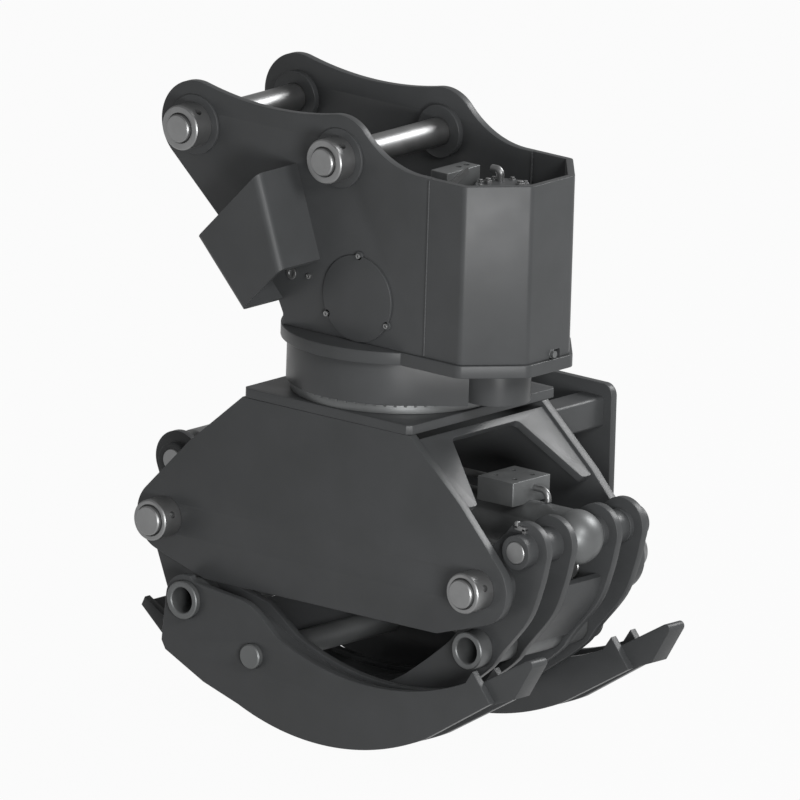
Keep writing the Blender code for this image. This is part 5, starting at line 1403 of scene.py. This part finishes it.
def makeCamera():
    # Parallel view, rolled a little as in the photograph. The slewing axis at deck level falls on
    # the pixel measured there.
    turn, tilt, roll = (math.radians(view[name]) for name in ("azimuth", "elevation", "roll"))
    level = np.array([math.cos(turn), math.sin(turn), 0])
    steep = np.array([-math.sin(turn) * math.sin(tilt), math.cos(turn) * math.sin(tilt), math.cos(tilt)])
    right = level * math.cos(roll) + steep * math.sin(roll)
    up = steep * math.cos(roll) - level * math.sin(roll)
    back = np.cross(right, up)
    half = view["imagePixels"] / 2
    scale = view["metresPerPixel"]
    target = np.array([0, 0, deckTop]) + right * (half - view["axisPixelX"]) * scale
    target += up * (view["deckPixelY"] - half) * scale
    data = bpy.data.cameras.new("camera")
    data.type = "ORTHO"
    data.ortho_scale = view["imagePixels"] * scale
    data.clip_end = 60
    camera = linked("camera", data)
    camera.location = target + back * view["distance"]
    camera.rotation_euler = Matrix(np.column_stack([right, up, back]).tolist()).to_euler()
    bpy.context.scene.camera = camera
    return target


stage = {
    "floorSize": 60.0, "floorGap": 0.010, "floorColor": 0.14, "rough": 0.9, "specular": 0.1,
    "metallic": 0.0, "seen": 0.96,
}


def makeFloor():
    # Pale floor: the camera and mirrors see it nearly white, and it keeps the object's shadow.
    mesh = bpy.data.meshes.new("floor")
    half = stage["floorSize"] / 2
    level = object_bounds()[0][2] - stage["floorGap"]
    mesh.from_pydata([(x, y, level) for x, y in boxLine(-half, half, -half, half)], [], [(0, 1, 2, 3)])
    floor = linked("floor", mesh)
    material, tree, shader = startFinish("floor_white", stage)[:3]
    shader.inputs["Base Color"].default_value = (*[stage["floorColor"]] * 3, 1)
    shader.inputs["Roughness"].default_value = stage["rough"]
    white = addNode(tree, "ShaderNodeEmission", (), {"Strength": 1.0})
    showMix(tree, raysSeen(tree, stage["seen"]), shader, white, "Material Output")
    mesh.materials.append(material)


def raysSeen(tree, share):
    # One for rays from the camera, from mirrors and through glass, times a share.
    rays = addNode(tree, "ShaderNodeLightPath").outputs
    seen = mathOf(tree, "MAXIMUM", rays["Is Camera Ray"], rays["Is Glossy Ray"])
    seen = mathOf(tree, "MAXIMUM", seen, rays["Is Transmission Ray"])
    return mathOf(tree, "MULTIPLY", seen, share)


lamps = {
    "front": {"azimuth": 51.0, "elevation": 0.0, "distance": 9.0, "size": 3.0, "power": 640.0},
    "above": {"azimuth": 156.0, "elevation": 37.0, "distance": 7.0, "size": 3.2, "power": 390.0},
    "right": {"azimuth": 70.0, "elevation": 30.0, "distance": 7.0, "size": 2.0, "power": 220.0},
}
room = {"color": (1.0, 1.0, 1.0), "strength": 0.36}


def makeLamps(target):
    # Azimuth 0 looks along +Y, so a lamp at azimuth t stands at (sin t, -cos t) from the target.
    for name, lamp in lamps.items():
        turn, tilt = math.radians(lamp["azimuth"]), math.radians(lamp["elevation"])
        away = np.array([math.sin(turn) * math.cos(tilt), -math.cos(turn) * math.cos(tilt),
                         math.sin(tilt)])
        data = bpy.data.lights.new(name, "AREA")
        data.shape = "DISK"
        data.size = lamp["size"]
        data.energy = lamp["power"]
        light = linked(name, data)
        light.location = target + away * lamp["distance"]
        light.rotation_euler = (math.pi / 2 - tilt, 0, turn)
    world = bpy.data.worlds.new("room")
    world.use_nodes = True
    tree = world.node_tree
    soft = tree.nodes["Background"]
    soft.inputs["Color"].default_value = (*room["color"], 1)
    soft.inputs["Strength"].default_value = room["strength"]
    white = addNode(tree, "ShaderNodeBackground", (), {"Color": (1, 1, 1, 1), "Strength": 1.0})
    rays = addNode(tree, "ShaderNodeLightPath").outputs
    showMix(tree, rays["Is Camera Ray"], soft, white, "World Output")
    bpy.context.scene.world = world
    bpy.context.scene.view_settings.view_transform = "Standard"


target = makeCamera()
makePinsAndTubes()
makeBracket()
makeSlewingDrive()
makeLowerFrame()
makeLeftArm()
makeRightArm()
makeCylinder()
makeFloor()
makeLamps(target)
print("camera, floor and lamps set")
